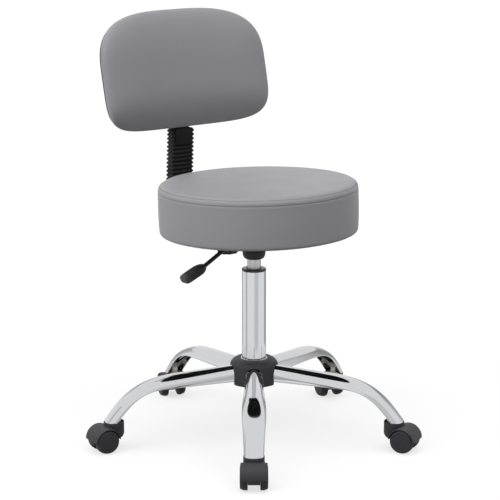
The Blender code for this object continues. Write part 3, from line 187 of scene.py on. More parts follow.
def lofted(name: str, rows: Sequence[Row], closed: bool = True, capped: bool = False,
           outward: bool = True, looped: bool = False, zipped: bool = False) -> Mesh:
    """Join rows of points by faces; a row of one point is a pole.

    Args:
        name: Name of the mesh.
        rows: Rows of points.
        closed: Whether each row is a loop.
        capped: Whether the first and last row are filled.
        outward: Whether to turn the faces outwards.
        looped: Whether the last row joins the first.
        zipped: Whether the first and last loop are closed by a strip from one side to the other.

    Returns:
        The mesh.
    """
    bm = bmesh.new()
    lines = [[bm.verts.new(point) for point in row] for row in rows]
    pairs = list(zip(lines, lines[1:]))
    if looped:
        pairs.append((lines[-1], lines[0]))
    for line, following in pairs:
        count = max(len(line), len(following))
        for k in range(count if closed else count - 1):
            j = (k + 1) % count
            near = [line[k % len(line)], line[j % len(line)]]
            far = [following[j % len(following)], following[k % len(following)]]
            bm.faces.new(list(dict.fromkeys(near + far)))
    if capped:
        bm.faces.new(lines[0])
        bm.faces.new(lines[-1])
    for line in (lines[0], lines[-1]) if zipped else ():
        for k in range(len(line) // 2):
            bm.faces.new(list(dict.fromkeys([line[k], line[k + 1], line[-k - 1], line[-k]])))
    return finished(name, bm, outward)


def turned(name: str, profile: Profile, sides: int, looped: bool = False) -> Mesh:
    """Turn a profile about Z.

    Args:
        name: Name of the mesh.
        profile: (radius, height) points.
        sides: Steps round the axis.
        looped: Whether the profile closes on itself, as a ring does.

    Returns:
        The closed mesh.
    """
    rows = [ring(radius, height, sides) if radius > TINY else [(0.0, 0.0, height)] for radius, height in profile]
    ends_open = not looped and len(rows[0]) > 1
    return lofted(name, rows, capped=ends_open, looped=looped)


def joined(name: str, meshes: Iterable[Mesh]) -> Mesh:
    """Put several meshes into one.

    Args:
        name: Name of the mesh.
        meshes: The meshes, which are used up.

    Returns:
        The joined mesh.
    """
    bm = bmesh.new()
    for mesh in meshes:
        bm.from_mesh(mesh)
        bpy.data.meshes.remove(mesh)
    return finished(name, bm, outward=False)


def placed(mesh: Mesh, matrix: Matrix) -> Mesh:
    """Move a mesh by a matrix.

    Args:
        mesh: The mesh, which is moved.
        matrix: The move.

    Returns:
        The same mesh.
    """
    mesh.transform(matrix)
    mesh.update()
    return mesh


def baked(carrier: Piece, weld: bool = True) -> Mesh:
    """Take an object's evaluated mesh and remove the object.

    Args:
        carrier: The object, with its modifiers.
        weld: Whether to merge doubles and turn the faces outwards.

    Returns:
        A plain mesh.
    """
    depsgraph = bpy.context.evaluated_depsgraph_get()
    mesh = bpy.data.meshes.new_from_object(carrier.evaluated_get(depsgraph))
    bpy.data.objects.remove(carrier, do_unlink=True)
    if not weld:
        return mesh
    bm = bmesh.new()
    bm.from_mesh(mesh)
    bmesh.ops.remove_doubles(bm, verts=bm.verts, dist=WELD_DISTANCE)
    return written(bm, mesh)


def carrier_of(mesh: Mesh) -> Piece:
    """Put a mesh on a working object in the scene."""
    return linked(f"working_{mesh.name}", mesh)


def carved(mesh: Mesh, cutters: Sequence[Mesh]) -> Mesh:
    """Cut meshes out of a mesh.

    Args:
        mesh: The closed shape to work on.
        cutters: The closed shapes to cut with.

    Returns:
        A new plain mesh.
    """
    carrier = carrier_of(mesh)
    tools = [carrier_of(cutter) for cutter in cutters]
    for tool in tools:
        modifier = carrier.modifiers.new(tool.name, "BOOLEAN")
        modifier.operation = "DIFFERENCE"
        modifier.object = tool
        modifier.solver = "EXACT"
    shape = baked(carrier)
    for tool in tools:
        bpy.data.objects.remove(tool, do_unlink=True)
    return shape


def softened(mesh: Mesh, width: float, segments: int = 2, degrees: float = 40.0) -> Mesh:
    """Round the sharp edges of a mesh.

    Args:
        mesh: The mesh.
        width: Width of the rounding.
        segments: Steps across it.
        degrees: Edges sharper than this are rounded.

    Returns:
        A new plain mesh.
    """
    carrier = carrier_of(mesh)
    modifier = carrier.modifiers.new("rounding", "BEVEL")
    modifier.width = width
    modifier.segments = segments
    modifier.limit_method = "ANGLE"
    modifier.angle_limit = math.radians(degrees)
    modifier.use_clamp_overlap = True
    modifier.miter_outer = "MITER_ARC"
    return baked(carrier)


def thickened(mesh: Mesh, thickness: float, offset: float) -> Mesh:
    """Give a sheet its thickness.

    Args:
        mesh: The sheet.
        thickness: Its thickness.
        offset: Side that it grows to, from -1 to 1.

    Returns:
        A new plain mesh.
    """
    carrier = carrier_of(mesh)
    modifier = carrier.modifiers.new("sheet", "SOLIDIFY")
    modifier.thickness = thickness
    modifier.offset = offset
    modifier.use_even_offset = True
    return baked(carrier)


def sliced(mesh: Mesh, point: Sequence[float], normal: Sequence[float]) -> Mesh:
    """Cut a closed mesh by a plane, drop the side that the normal points to, and fill the cut.

    Args:
        mesh: The mesh, which is changed.
        point: A point of the plane.
        normal: The side to drop.

    Returns:
        The same mesh.
    """
    bm = bmesh.new()
    bm.from_mesh(mesh)
    everything = list(bm.verts) + list(bm.edges) + list(bm.faces)
    plane = {"plane_co": point, "plane_no": normal, "dist": CUT_DISTANCE}
    cut = bmesh.ops.bisect_plane(bm, geom=everything, clear_outer=True, **plane)
    rim = [item for item in cut["geom_cut"] if isinstance(item, bmesh.types.BMEdge)]
    bmesh.ops.contextual_create(bm, geom=rim)
    return written(bm, mesh)


def block(name: str, low: Sequence[float], high: Sequence[float], rounding: float) -> Mesh:
    """A block between two corners, with rounded edges.

    Args:
        name: Name of the mesh.
        low: Lowest corner.
        high: Highest corner.
        rounding: Width of the rounding.

    Returns:
        The mesh.
    """
    bm = bmesh.new()
    bmesh.ops.create_cube(bm, size=1.0)
    size = Vector(high) - Vector(low)
    bmesh.ops.scale(bm, vec=size, verts=bm.verts)
    bmesh.ops.translate(bm, vec=Vector(low) + size / 2, verts=bm.verts)
    bmesh.ops.bevel(bm, geom=list(bm.edges), offset=rounding, segments=3, profile=0.5, affect="EDGES")
    return finished(name, bm)


def rod(name: str, radius: float, start: Sequence[float], end: Sequence[float], sides: int = 48) -> Mesh:
    """A straight round rod between two points.

    Args:
        name: Name of the mesh.
        radius: Its radius.
        start: Middle of one end.
        end: Middle of the other.
        sides: Steps round it.

    Returns:
        The mesh.
    """
    along = Vector(end) - Vector(start)
    mesh = turned(name, [(0.0, along.length), (radius, along.length), (radius, 0.0), (0.0, 0.0)], sides)
    turn = Vector((0.0, 0.0, 1.0)).rotation_difference(along).to_matrix().to_4x4()
    return placed(mesh, Matrix.Translation(start) @ turn)


# Lines

def ease(value: float) -> float:
    """A smooth step from 0 to 1."""
    value = min(max(value, 0.0), 1.0)
    return value * value * (3 - 2 * value)


def bump_at(distance: float, width: float) -> float:
    """A bell of height 1 round a distance of 0."""
    return math.exp(-((distance / width) ** 2))


def signed_power(value: float, power: float) -> float:
    """A power that keeps the sign, for superellipses."""
    return math.copysign(abs(value) ** power, value)


def rounded_path(corners: Sequence[Vector], radii: Sequence[float], steps: int) -> list[Vector]:
    """A flat path with an arc at each inner corner.

    Args:
        corners: Corner points of the path.
        radii: Radius at each inner corner.
        steps: Steps of each arc.

    Returns:
        Points of the path.
    """
    points = [Vector(corners[0])]
    for before, corner, after, radius in zip(corners, corners[1:], corners[2:], radii):
        arrive = (Vector(corner) - Vector(before)).normalized()
        leave = (Vector(after) - Vector(corner)).normalized()
        turn = arrive.angle(leave)
        start = Vector(corner) - arrive * radius * math.tan(turn / 2)
        side = Vector((-arrive.y, arrive.x))
        if side.dot(leave) < 0:
            side.negate()
        for k in range(steps + 1):
            angle = turn * k / steps
            points.append(start + side * radius * (1 - math.cos(angle)) + arrive * radius * math.sin(angle))
    points.append(Vector(corners[-1]))
    return points


def travel(path: Sequence[Vector]) -> list[Vector]:
    """Direction of travel at each point of a path.

    Args:
        path: Points of the path.

    Returns:
        A unit vector for each point.
    """
    ways = []
    for k in range(len(path)):
        before = path[max(k - 1, 0)]
        after = path[min(k + 1, len(path) - 1)]
        ways.append((after - before).normalized())
    return ways


def spaced(line: Sequence[Vector], count: int, loop: bool = False) -> list[Vector]:
    """Points at even steps along a line.

    Args:
        line: Points of the line.
        count: How many points to give.
        loop: Whether the line closes on itself.

    Returns:
        The points, both ends included unless the line is a loop.
    """
    walk = list(line) + ([line[0]] if loop else [])
    lengths = [0.0]
    for first, second in zip(walk, walk[1:]):
        lengths.append(lengths[-1] + (second - first).length)
    points = []
    leg = 0
    for k in range(count):
        target = lengths[-1] * k / (count if loop else count - 1)
        while leg < len(walk) - 2 and lengths[leg + 1] < target:
            leg += 1
        share = (target - lengths[leg]) / max(lengths[leg + 1] - lengths[leg], TINY)
        points.append(walk[leg].lerp(walk[leg + 1], min(share, 1.0)))
    return points


def calmed(line: Sequence[Vector], rounds: int) -> list[Vector]:
    """Even out the bends of an open line, its ends kept.

    Args:
        line: Points of the line.
        rounds: How often points are averaged.

    Returns:
        The points.
    """
    points = list(line)
    for _ in range(rounds):
        inner = [(a + 2 * b + c) / 4 for a, b, c in zip(points, points[1:], points[2:])]
        points = [points[0], *inner, points[-1]]
    return points


def smooth_line(points: Sequence[Vector], steps: int) -> list[Vector]:
    """A smooth line through points.

    Args:
        points: The points to pass through.
        steps: Steps between each two.

    Returns:
        Points of the line.
    """
    line = []
    for k in range(len(points) - 1):
        before = points[max(k - 1, 0)]
        first, second = points[k], points[k + 1]
        after = points[min(k + 2, len(points) - 1)]
        for j in range(steps):
            t = j / steps
            pull = (second - before) * t + (before * 2 - first * 5 + second * 4 - after) * t * t
            pull += (first * 3 - before - second * 3 + after) * t ** 3
            line.append(first + pull * 0.5)
    line.append(points[-1])
    return line


def rounded_box_loop(width: float, depth: float, corner: float, steps: int) -> list[tuple[float, float]]:
    """A rounded rectangle about the origin.

    Args:
        width: Its width along X.
        depth: Its depth along Y.
        corner: Radius of its corners.
        steps: Steps of each corner.

    Returns:
        (x, y) points, counter-clockwise.
    """
    loop = []
    for turn in range(4):
        middle_x = (width / 2 - corner) * (1 if turn in (0, 3) else -1)
        middle_y = (depth / 2 - corner) * (1 if turn in (0, 1) else -1)
        for k in range(steps + 1):
            angle = math.pi / 2 * (turn + k / steps)
            loop.append((middle_x + corner * math.cos(angle), middle_y + corner * math.sin(angle)))
    return loop


def superellipse(width: float, height: float, upper: float, lower: float, steps: int) -> list[Vector]:
    """A squared oval about the origin.

    Args:
        width: Its full width.
        height: Its full height.
        upper: Exponent above the middle; 2 is an ellipse.
        lower: Exponent below it.
        steps: Points round it.

    Returns:
        (x, y) points, counter-clockwise.
    """
    points = []
    for x, y, _ in ring(1.0, 0.0, steps):
        power = 2 / (upper if y > 0 else lower)
        points.append(Vector((signed_power(x, power) * width / 2, signed_power(y, power) * height / 2)))
    return points


# Materials

class Graph:
    """Short hand for wiring one node tree."""

    def __init__(self, tree: Tree) -> None:
        """Start on a tree."""
        self.tree = tree

    def node(self, kind: str, values: Optional[dict] = None, **settings: object) -> bpy.types.Node:
        """Add a node.

        Args:
            kind: The node's type.
            values: Values or source sockets for its inputs, by name or number.
            settings: Properties of the node.

        Returns:
            The node.
        """
        node = self.tree.nodes.new(kind)
        for key, value in settings.items():
            setattr(node, key, value)
        for key, value in (values or {}).items():
            self.feed(node.inputs[key], value)
        return node

    def feed(self, socket: Socket, value: object) -> None:
        """Link a source to a socket, or set the socket's own value.

        Args:
            socket: The socket.
            value: A source socket or a value.
        """
        if isinstance(value, Socket):
            self.tree.links.new(value, socket)
        else:
            socket.default_value = value

    def math(self, operation: str, first: object, second: object = 0.0, clamp: bool = False) -> Socket:
        """Add a Math node and return its result."""
        node = self.node("ShaderNodeMath", {0: first, 1: second}, operation=operation, use_clamp=clamp)
        return node.outputs[0]

    def noise(self, vector: object, scale: object, detail: float = 2.0, rough: float = 0.5) -> Socket:
        """Add a Noise Texture and return its value."""
        values = {"Vector": vector, "Scale": scale, "Detail": detail, "Roughness": rough}
        return self.node("ShaderNodeTexNoise", values).outputs["Fac"]

    def ramp(self, value: object, low: float, high: float) -> Socket:
        """Stretch a range of values to 0 to 1, with smooth ends."""
        values = {"Value": value, "From Min": low, "From Max": high}
        return self.node("ShaderNodeMapRange", values, interpolation_type="SMOOTHSTEP").outputs["Result"]

    def mixed(self, share: object, first: object, second: object) -> Socket:
        """Mix two colours.

        Args:
            share: How much of the second.
            first: One colour.
            second: The other.

        Returns:
            The mixed colour's socket.
        """
        node = self.node("ShaderNodeMix", data_type="RGBA")
        for name, value in (("Factor_Float", share), ("A_Color", first), ("B_Color", second)):
            socket = next(s for s in node.inputs if s.identifier == name)
            self.feed(socket, value)
        return next(s for s in node.outputs if s.identifier == "Result_Color")


class Effects:
    """Surface effects that several finishes share, each a node group that is built once."""

    def __init__(self) -> None:
        """Start with no groups."""
        self.groups: dict[str, Tree] = {}

    def group(self, name: str) -> Tree:
        """Give a group by name, building it at its first use.

        Args:
            name: Name of the group.

        Returns:
            The group.
        """
        if name not in self.groups:
            builders = {
                "tone": self.build_tone, "smudge": self.build_smudge, "scuff": self.build_scuff,
                "settled_dust": self.build_dust, **{relief.value: self.build_relief for relief in Relief},
            }
            self.groups[name] = builders[name](name)
        return self.groups[name]

    @staticmethod
    def begin(name: str, inputs: Sequence[str], output: str) -> tuple[Graph, dict[str, Socket], Socket]:
        """Start a group.

        Args:
            name: Name of the group.
            inputs: Names of its inputs beside the place on the surface.
            output: Name of its output.

        Returns:
            The graph, the input sockets by name, and the socket to feed the result to.
        """
        tree = bpy.data.node_groups.new(name, "ShaderNodeTree")
        for label in ("Vector", *inputs):
            tree.interface.new_socket(label, in_out="INPUT", socket_type=SOCKETS.get(label, "NodeSocketFloat"))
        tree.interface.new_socket(output, in_out="OUTPUT", socket_type=SOCKETS.get(output, "NodeSocketFloat"))
        graph = Graph(tree)
        start = graph.node("NodeGroupInput")
        end = graph.node("NodeGroupOutput")
        return graph, {label: start.outputs[label] for label in ("Vector", *inputs)}, end.inputs[output]

    def build_tone(self, name: str) -> Tree:
        """Colour that drifts in broad clouds and fine specks.

        Args:
            name: Name of the group.

        Returns:
            The group.
        """
        inputs = ("Colour", "Cloud Scale", "Cloud Amount", "Speck Scale", "Speck Amount")
        graph, given, result = self.begin(name, inputs, "Colour")
        total: object = 1.0
        for label, detail in (("Cloud", 3.0), ("Speck", 1.0)):
            noise = graph.noise(given["Vector"], given[f"{label} Scale"], detail)
            drift = graph.math("MULTIPLY", graph.math("SUBTRACT", noise, 0.5), 2.0)
            total = graph.math("ADD", total, graph.math("MULTIPLY", drift, given[f"{label} Amount"]))
        scaled = graph.node("ShaderNodeVectorMath", {0: given["Colour"]}, operation="SCALE")
        graph.feed(scaled.inputs["Scale"], total)
        graph.feed(result, scaled.outputs["Vector"])
        return graph.tree

    def build_smudge(self, name: str) -> Tree:
        """Roughness with the soft patches that hands and wiping leave.

        Args:
            name: Name of the group.

        Returns:
            The group.
        """
        graph, given, result = self.begin(name, ("Scale", "Base", "Amount"), "Value")
        broad = graph.ramp(graph.noise(given["Vector"], given["Scale"], 4.0, 0.6), 0.38, 0.68)
        fine = graph.noise(given["Vector"], graph.math("MULTIPLY", given["Scale"], 9.0), 3.0)
        patch = graph.math("MULTIPLY", broad, graph.math("ADD", fine, 0.4))
        graph.feed(result, graph.math("ADD", given["Base"], graph.math("MULTIPLY", patch, given["Amount"]), clamp=True))
        return graph.tree

    def build_scuff(self, name: str) -> Tree:
        """Mask of sparse fine scratches.

        Args:
            name: Name of the group.

        Returns:
            The group.
        """
        graph, given, result = self.begin(name, ("Scale", "Amount"), "Mask")
        stretched = graph.node("ShaderNodeMapping", {"Vector": given["Vector"], "Scale": (1.0, 0.14, 0.5)})
        lines = graph.ramp(graph.noise(stretched.outputs["Vector"], given["Scale"], 2.0), 0.66, 0.74)
        where = graph.ramp(graph.noise(given["Vector"], graph.math("MULTIPLY", given["Scale"], 0.06), 2.0), 0.5, 0.7)
        graph.feed(result, graph.math("MULTIPLY", graph.math("MULTIPLY", lines, where), given["Amount"]))
        return graph.tree

    def build_dust(self, name: str) -> Tree:
        """Mask of thin dust on faces that look up.

        Args:
            name: Name of the group.

        Returns:
            The group.
        """
        graph, given, result = self.begin(name, ("Normal", "Scale", "Amount"), "Mask")
        rise = graph.node("ShaderNodeSeparateXYZ", {0: given["Normal"]}).outputs["Z"]
        facing = graph.ramp(rise, 0.25, 1.0)
        patch = graph.math("ADD", graph.noise(given["Vector"], given["Scale"], 5.0, 0.65), 0.2)
        graph.feed(result, graph.math("MULTIPLY", graph.math("MULTIPLY", facing, patch), given["Amount"]))
        return graph.tree

    def build_relief(self, name: str) -> Tree:
        """Height of a fine surface relief; the group's name picks its kind.

        Args:
            name: Name of the group.

        Returns:
            The group.
        """
        graph, given, result = self.begin(name, ("Scale",), "Height")
        vector, scale = given["Vector"], given["Scale"]
        kind = Relief(name)
        if kind is Relief.PEBBLE:
            height = self.pebbles(graph, vector, scale)
        elif kind is Relief.SPECK:
            broad = graph.noise(vector, graph.math("MULTIPLY", scale, 0.3))
            fine = graph.noise(vector, scale, 2.0, 0.7)
            height = graph.math("ADD", fine, graph.math("MULTIPLY", broad, 0.5))
        elif kind is Relief.RIPPLE:
            height = graph.noise(vector, scale, 1.0, 0.3)
        elif kind is Relief.FIBRE:
            height = self.fibres(graph, vector, scale)
        else:
            stretched = graph.node("ShaderNodeMapping", {"Vector": vector, "Scale": (1.0, 0.05, 1.0)})
            height = graph.noise(stretched.outputs["Vector"], scale, 4.0, 0.6)
        graph.feed(result, height)
        return graph.tree

    @staticmethod
    def pebbles(graph: Graph, vector: Socket, scale: Socket) -> Socket:
        """Height of small rounded cells of uneven size, as on a coated fabric.

        Args:
            graph: The group's graph.
            vector: Place on the surface.
            scale: How fine they are.

        Returns:
            The height.
        """
        warp = graph.node("ShaderNodeTexNoise", {"Vector": vector, "Scale": scale, "Detail": 1.0}).outputs["Color"]
        shift = graph.node("ShaderNodeVectorMath", {0: warp}, operation="SCALE")
        graph.feed(shift.inputs["Scale"], graph.math("DIVIDE", 0.7, scale))
        moved = graph.node("ShaderNodeVectorMath", {0: vector, 1: shift.outputs["Vector"]}, operation="ADD")
        values = {"Vector": moved.outputs["Vector"], "Scale": scale}
        cells = graph.node("ShaderNodeTexVoronoi", values, feature="DISTANCE_TO_EDGE").outputs["Distance"]
        dome = graph.ramp(cells, 0.0, 0.32)
        fine = graph.noise(vector, graph.math("MULTIPLY", scale, 3.0), 2.0)
        return graph.math("ADD", dome, graph.math("MULTIPLY", fine, 0.35))

    @staticmethod
    def fibres(graph: Graph, vector: Socket, scale: Socket) -> Socket:
        """Height of pressed fibres that lie in two ways.

        Args:
            graph: The group's graph.
            vector: Place on the surface.
            scale: How fine they are.

        Returns:
            The height.
        """
        total: object = 0.0
        for turn in (0.6, -0.9):
            values = {"Vector": vector, "Rotation": (0.0, 0.0, turn), "Scale": (1.0, 0.12, 1.0)}
            stretched = graph.node("ShaderNodeMapping", values).outputs["Vector"]
            total = graph.math("ADD", total, graph.noise(stretched, scale, 3.0, 0.6))
        return total


@dataclass(frozen=True)
class Finish:
    """One finish of the stool: its colour, its gloss and the detail of its surface."""

    name: str
    slot: Slot
    colour: Colour
    roughness: float
    relief: Relief
    relief_scale: float
    relief_depth: float
    metallic: float = 0.0
    specular: float = 0.5
    cloud_scale: float = 12.0
    cloud_amount: float = 0.05
    speck_scale: float = 900.0
    speck_amount: float = 0.05
    smudge_scale: float = 18.0
    smudge_amount: float = 0.08
    scuff_scale: float = 420.0
    scuff_amount: float = 0.0
    scuff_colour: Colour = (0.4, 0.4, 0.4)
    dust_scale: float = 40.0
    dust_amount: float = 0.0
    dust_colour: Colour = (0.45, 0.44, 0.43)

    def material(self, effects: Effects) -> Material:
        """Wire the finish.

        Args:
            effects: The shared effects.

        Returns:
            The material.
        """
        material = bpy.data.materials.new(self.name)
        material.use_nodes = True
        material.diffuse_color = (*self.colour, 1.0)
        graph = Graph(material.node_tree)
        shader = material.node_tree.nodes["Principled BSDF"]
        shader.inputs["Metallic"].default_value = self.metallic
        shader.inputs["Specular IOR Level"].default_value = self.specular
        place = graph.node("ShaderNodeTexCoord")
        vector = place.outputs["Object"]
        colour = self.place(graph, effects, "tone", "Colour", {
            "Vector": vector, "Colour": (*self.colour, 1.0), "Cloud Scale": self.cloud_scale,
            "Cloud Amount": self.cloud_amount, "Speck Scale": self.speck_scale, "Speck Amount": self.speck_amount,
        })
        if self.scuff_amount:
            values = {"Vector": vector, "Scale": self.scuff_scale, "Amount": self.scuff_amount}
            mask = self.place(graph, effects, "scuff", "Mask", values)
            colour = graph.mixed(mask, colour, (*self.scuff_colour, 1.0))
        if self.dust_amount:
            values = {"Vector": vector, "Scale": self.dust_scale, "Amount": self.dust_amount}
            values["Normal"] = place.outputs["Normal"]
            mask = self.place(graph, effects, "settled_dust", "Mask", values)
            colour = graph.mixed(mask, colour, (*self.dust_colour, 1.0))
        graph.feed(shader.inputs["Base Color"], colour)
        values = {
            "Vector": vector, "Scale": self.smudge_scale, "Base": self.roughness, "Amount": self.smudge_amount,
        }
        graph.feed(shader.inputs["Roughness"], self.place(graph, effects, "smudge", "Value", values))
        height = self.place(graph, effects, self.relief.value, "Height", {"Vector": vector, "Scale": self.relief_scale})
        bump = graph.node("ShaderNodeBump", {"Height": height, "Strength": 1.0, "Distance": self.relief_depth})
        graph.feed(shader.inputs["Normal"], bump.outputs["Normal"])
        return material

    @staticmethod
    def place(graph: Graph, effects: Effects, name: str, output: str, values: dict) -> Socket:
        """Set a shared effect into a material.

        Args:
            graph: The material's graph.
            effects: The shared effects.
            name: Name of the effect.
            output: Name of the output.
            values: Values or sources of its inputs.

        Returns:
            The output's socket.
        """
        node = graph.node("ShaderNodeGroup", node_tree=effects.group(name))
        for label, value in values.items():
            graph.feed(node.inputs[label], value)
        return node.outputs[output]


VINYL = Finish(
    "grey_vinyl", Slot.VINYL, (0.278, 0.272, 0.288), 0.47, Relief.PEBBLE, 760.0, 0.00011, cloud_scale=7.0,
    cloud_amount=0.012, speck_amount=0.04, smudge_amount=0.06,
)
THREAD = Finish(
    "seat_thread", Slot.VINYL, (0.13, 0.127, 0.136), 0.75, Relief.FIBRE, 3000.0, 0.0001, speck_amount=0.15,
)
CHROME = Finish(
    "chrome_plate", Slot.CHROME, (0.63, 0.635, 0.648), 0.035, Relief.RIPPLE, 26.0, 0.00006, metallic=1.0,
    cloud_amount=0.015, speck_amount=0.01, smudge_amount=0.06,
)
TUBE_STEEL = Finish(
    "ground_steel", Slot.STEEL, (0.47, 0.465, 0.475), 0.3, Relief.GRAIN, 900.0, 0.00002, metallic=1.0,
    smudge_amount=0.1,
)
ZINC = Finish(
    "zinc_plate", Slot.STEEL, (0.56, 0.54, 0.49), 0.3, Relief.SPECK, 420.0, 0.0001, metallic=1.0, cloud_scale=60.0,
    cloud_amount=0.14, smudge_scale=50.0, smudge_amount=0.2, scuff_amount=0.3,
)
BLACK_STEEL = Finish(
    "black_powder_coat", Slot.BLACK_STEEL, (0.021, 0.021, 0.023), 0.42, Relief.SPECK, 1100.0, 0.00008,
    specular=0.3, smudge_amount=0.15, scuff_amount=0.25, scuff_colour=(0.12, 0.12, 0.12), dust_amount=0.04,
)
CHARCOAL = Finish(
    "charcoal_plastic", Slot.DARK_PLASTIC, (0.031, 0.0297, 0.033), 0.45, Relief.SPECK, 1700.0, 0.00007,
    specular=0.25, smudge_amount=0.15, scuff_amount=0.2, scuff_colour=(0.16, 0.16, 0.16), dust_amount=0.05,
)
BLACK_PLASTIC = Finish(
    "black_plastic", Slot.BLACK_PLASTIC, (0.018, 0.0178, 0.0192), 0.42, Relief.SPECK, 1500.0, 0.00006,
    specular=0.3, smudge_amount=0.15, scuff_amount=0.2, scuff_colour=(0.1, 0.1, 0.1), dust_amount=0.03,
)
PADDLE_PLASTIC = Finish(
    "paddle_plastic", Slot.BLACK_PLASTIC, (0.036, 0.0355, 0.038), 0.36, Relief.SPECK, 1500.0, 0.00006,
    specular=0.35, smudge_amount=0.15, scuff_amount=0.2, scuff_colour=(0.1, 0.1, 0.1), dust_amount=0.03,
)
GLOSS_PLASTIC = Finish(
    "gloss_plastic", Slot.BLACK_PLASTIC, (0.011, 0.011, 0.012), 0.12, Relief.SPECK, 1500.0, 0.00002,
    smudge_amount=0.1,
)
RUBBER = Finish(
    "bellows_rubber", Slot.BELLOWS_RUBBER, (0.0135, 0.013, 0.0145), 0.4, Relief.SPECK, 700.0, 0.00006,
    specular=0.1, cloud_scale=40.0, cloud_amount=0.2, smudge_scale=60.0, smudge_amount=0.2, dust_amount=0.05,
)
PLYWOOD = Finish(
    "plywood", Slot.PLYWOOD, (0.5, 0.36, 0.22), 0.68, Relief.GRAIN, 240.0, 0.0002, cloud_scale=20.0,
    cloud_amount=0.15, speck_scale=300.0, speck_amount=0.12,
)
DUST_CLOTH = Finish(
    "dust_cloth", Slot.DUST_CLOTH, (0.017, 0.017, 0.018), 0.88, Relief.FIBRE, 700.0, 0.0003, specular=0.2,
    cloud_scale=30.0, cloud_amount=0.2, speck_amount=0.3,
)


class Workshop:
    """Sets finished pieces into the scene, each on its body and in its finish."""

    def __init__(self, nodes: dict[str, Piece]) -> None:
        """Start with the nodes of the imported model.

        Args:
            nodes: The nodes by name.
        """
        self.nodes = nodes
        self.effects = Effects()
        self.materials: dict[str, Material] = {}

    def material(self, finish: Finish) -> Material:
        """Give a finish's material, wiring it at its first use.

        Args:
            finish: The finish.

        Returns:
            Its material.
        """
        if finish.name not in self.materials:
            self.materials[finish.name] = finish.material(self.effects)
        return self.materials[finish.name]

    def add(self, name: str, mesh: Mesh, finish: Finish, body: str, stands_for: Sequence[str] = (),
            smooth: float = SMOOTH_ANGLE) -> Piece:
        """Add a piece in its finish.

        Args:
            name: Name of the piece.
            mesh: Its mesh, in place.
            finish: Its finish.
            body: The body it rides on; if empty, the piece is attached to none.
            stands_for: The nodes it takes the place of.
            smooth: Edges sharper than this stay sharp.

        Returns:
            The piece.
        """
        mesh.name = name
        mesh.materials.clear()
        mesh.materials.append(self.material(finish))
        mesh.shade_smooth()
        mesh.set_sharp_from_angle(angle=smooth)
        piece = linked(name, mesh)
        if stands_for:
            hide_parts(*stands_for)
        if body:
            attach(piece, body)
        LOG.info("%s in %s, %d faces", name, finish.name, len(mesh.polygons))
        return piece

    def dress(self, finish: Finish, *names: str) -> None:
        """Give nodes that stay as they are a finish.

        Args:
            finish: The finish.
            names: Names of the nodes.
        """
        for name in names:
            for slot in self.nodes[name].material_slots:
                slot.material = self.material(finish)
            LOG.info("%s dressed in %s", name, finish.name)


# Repeats along lines

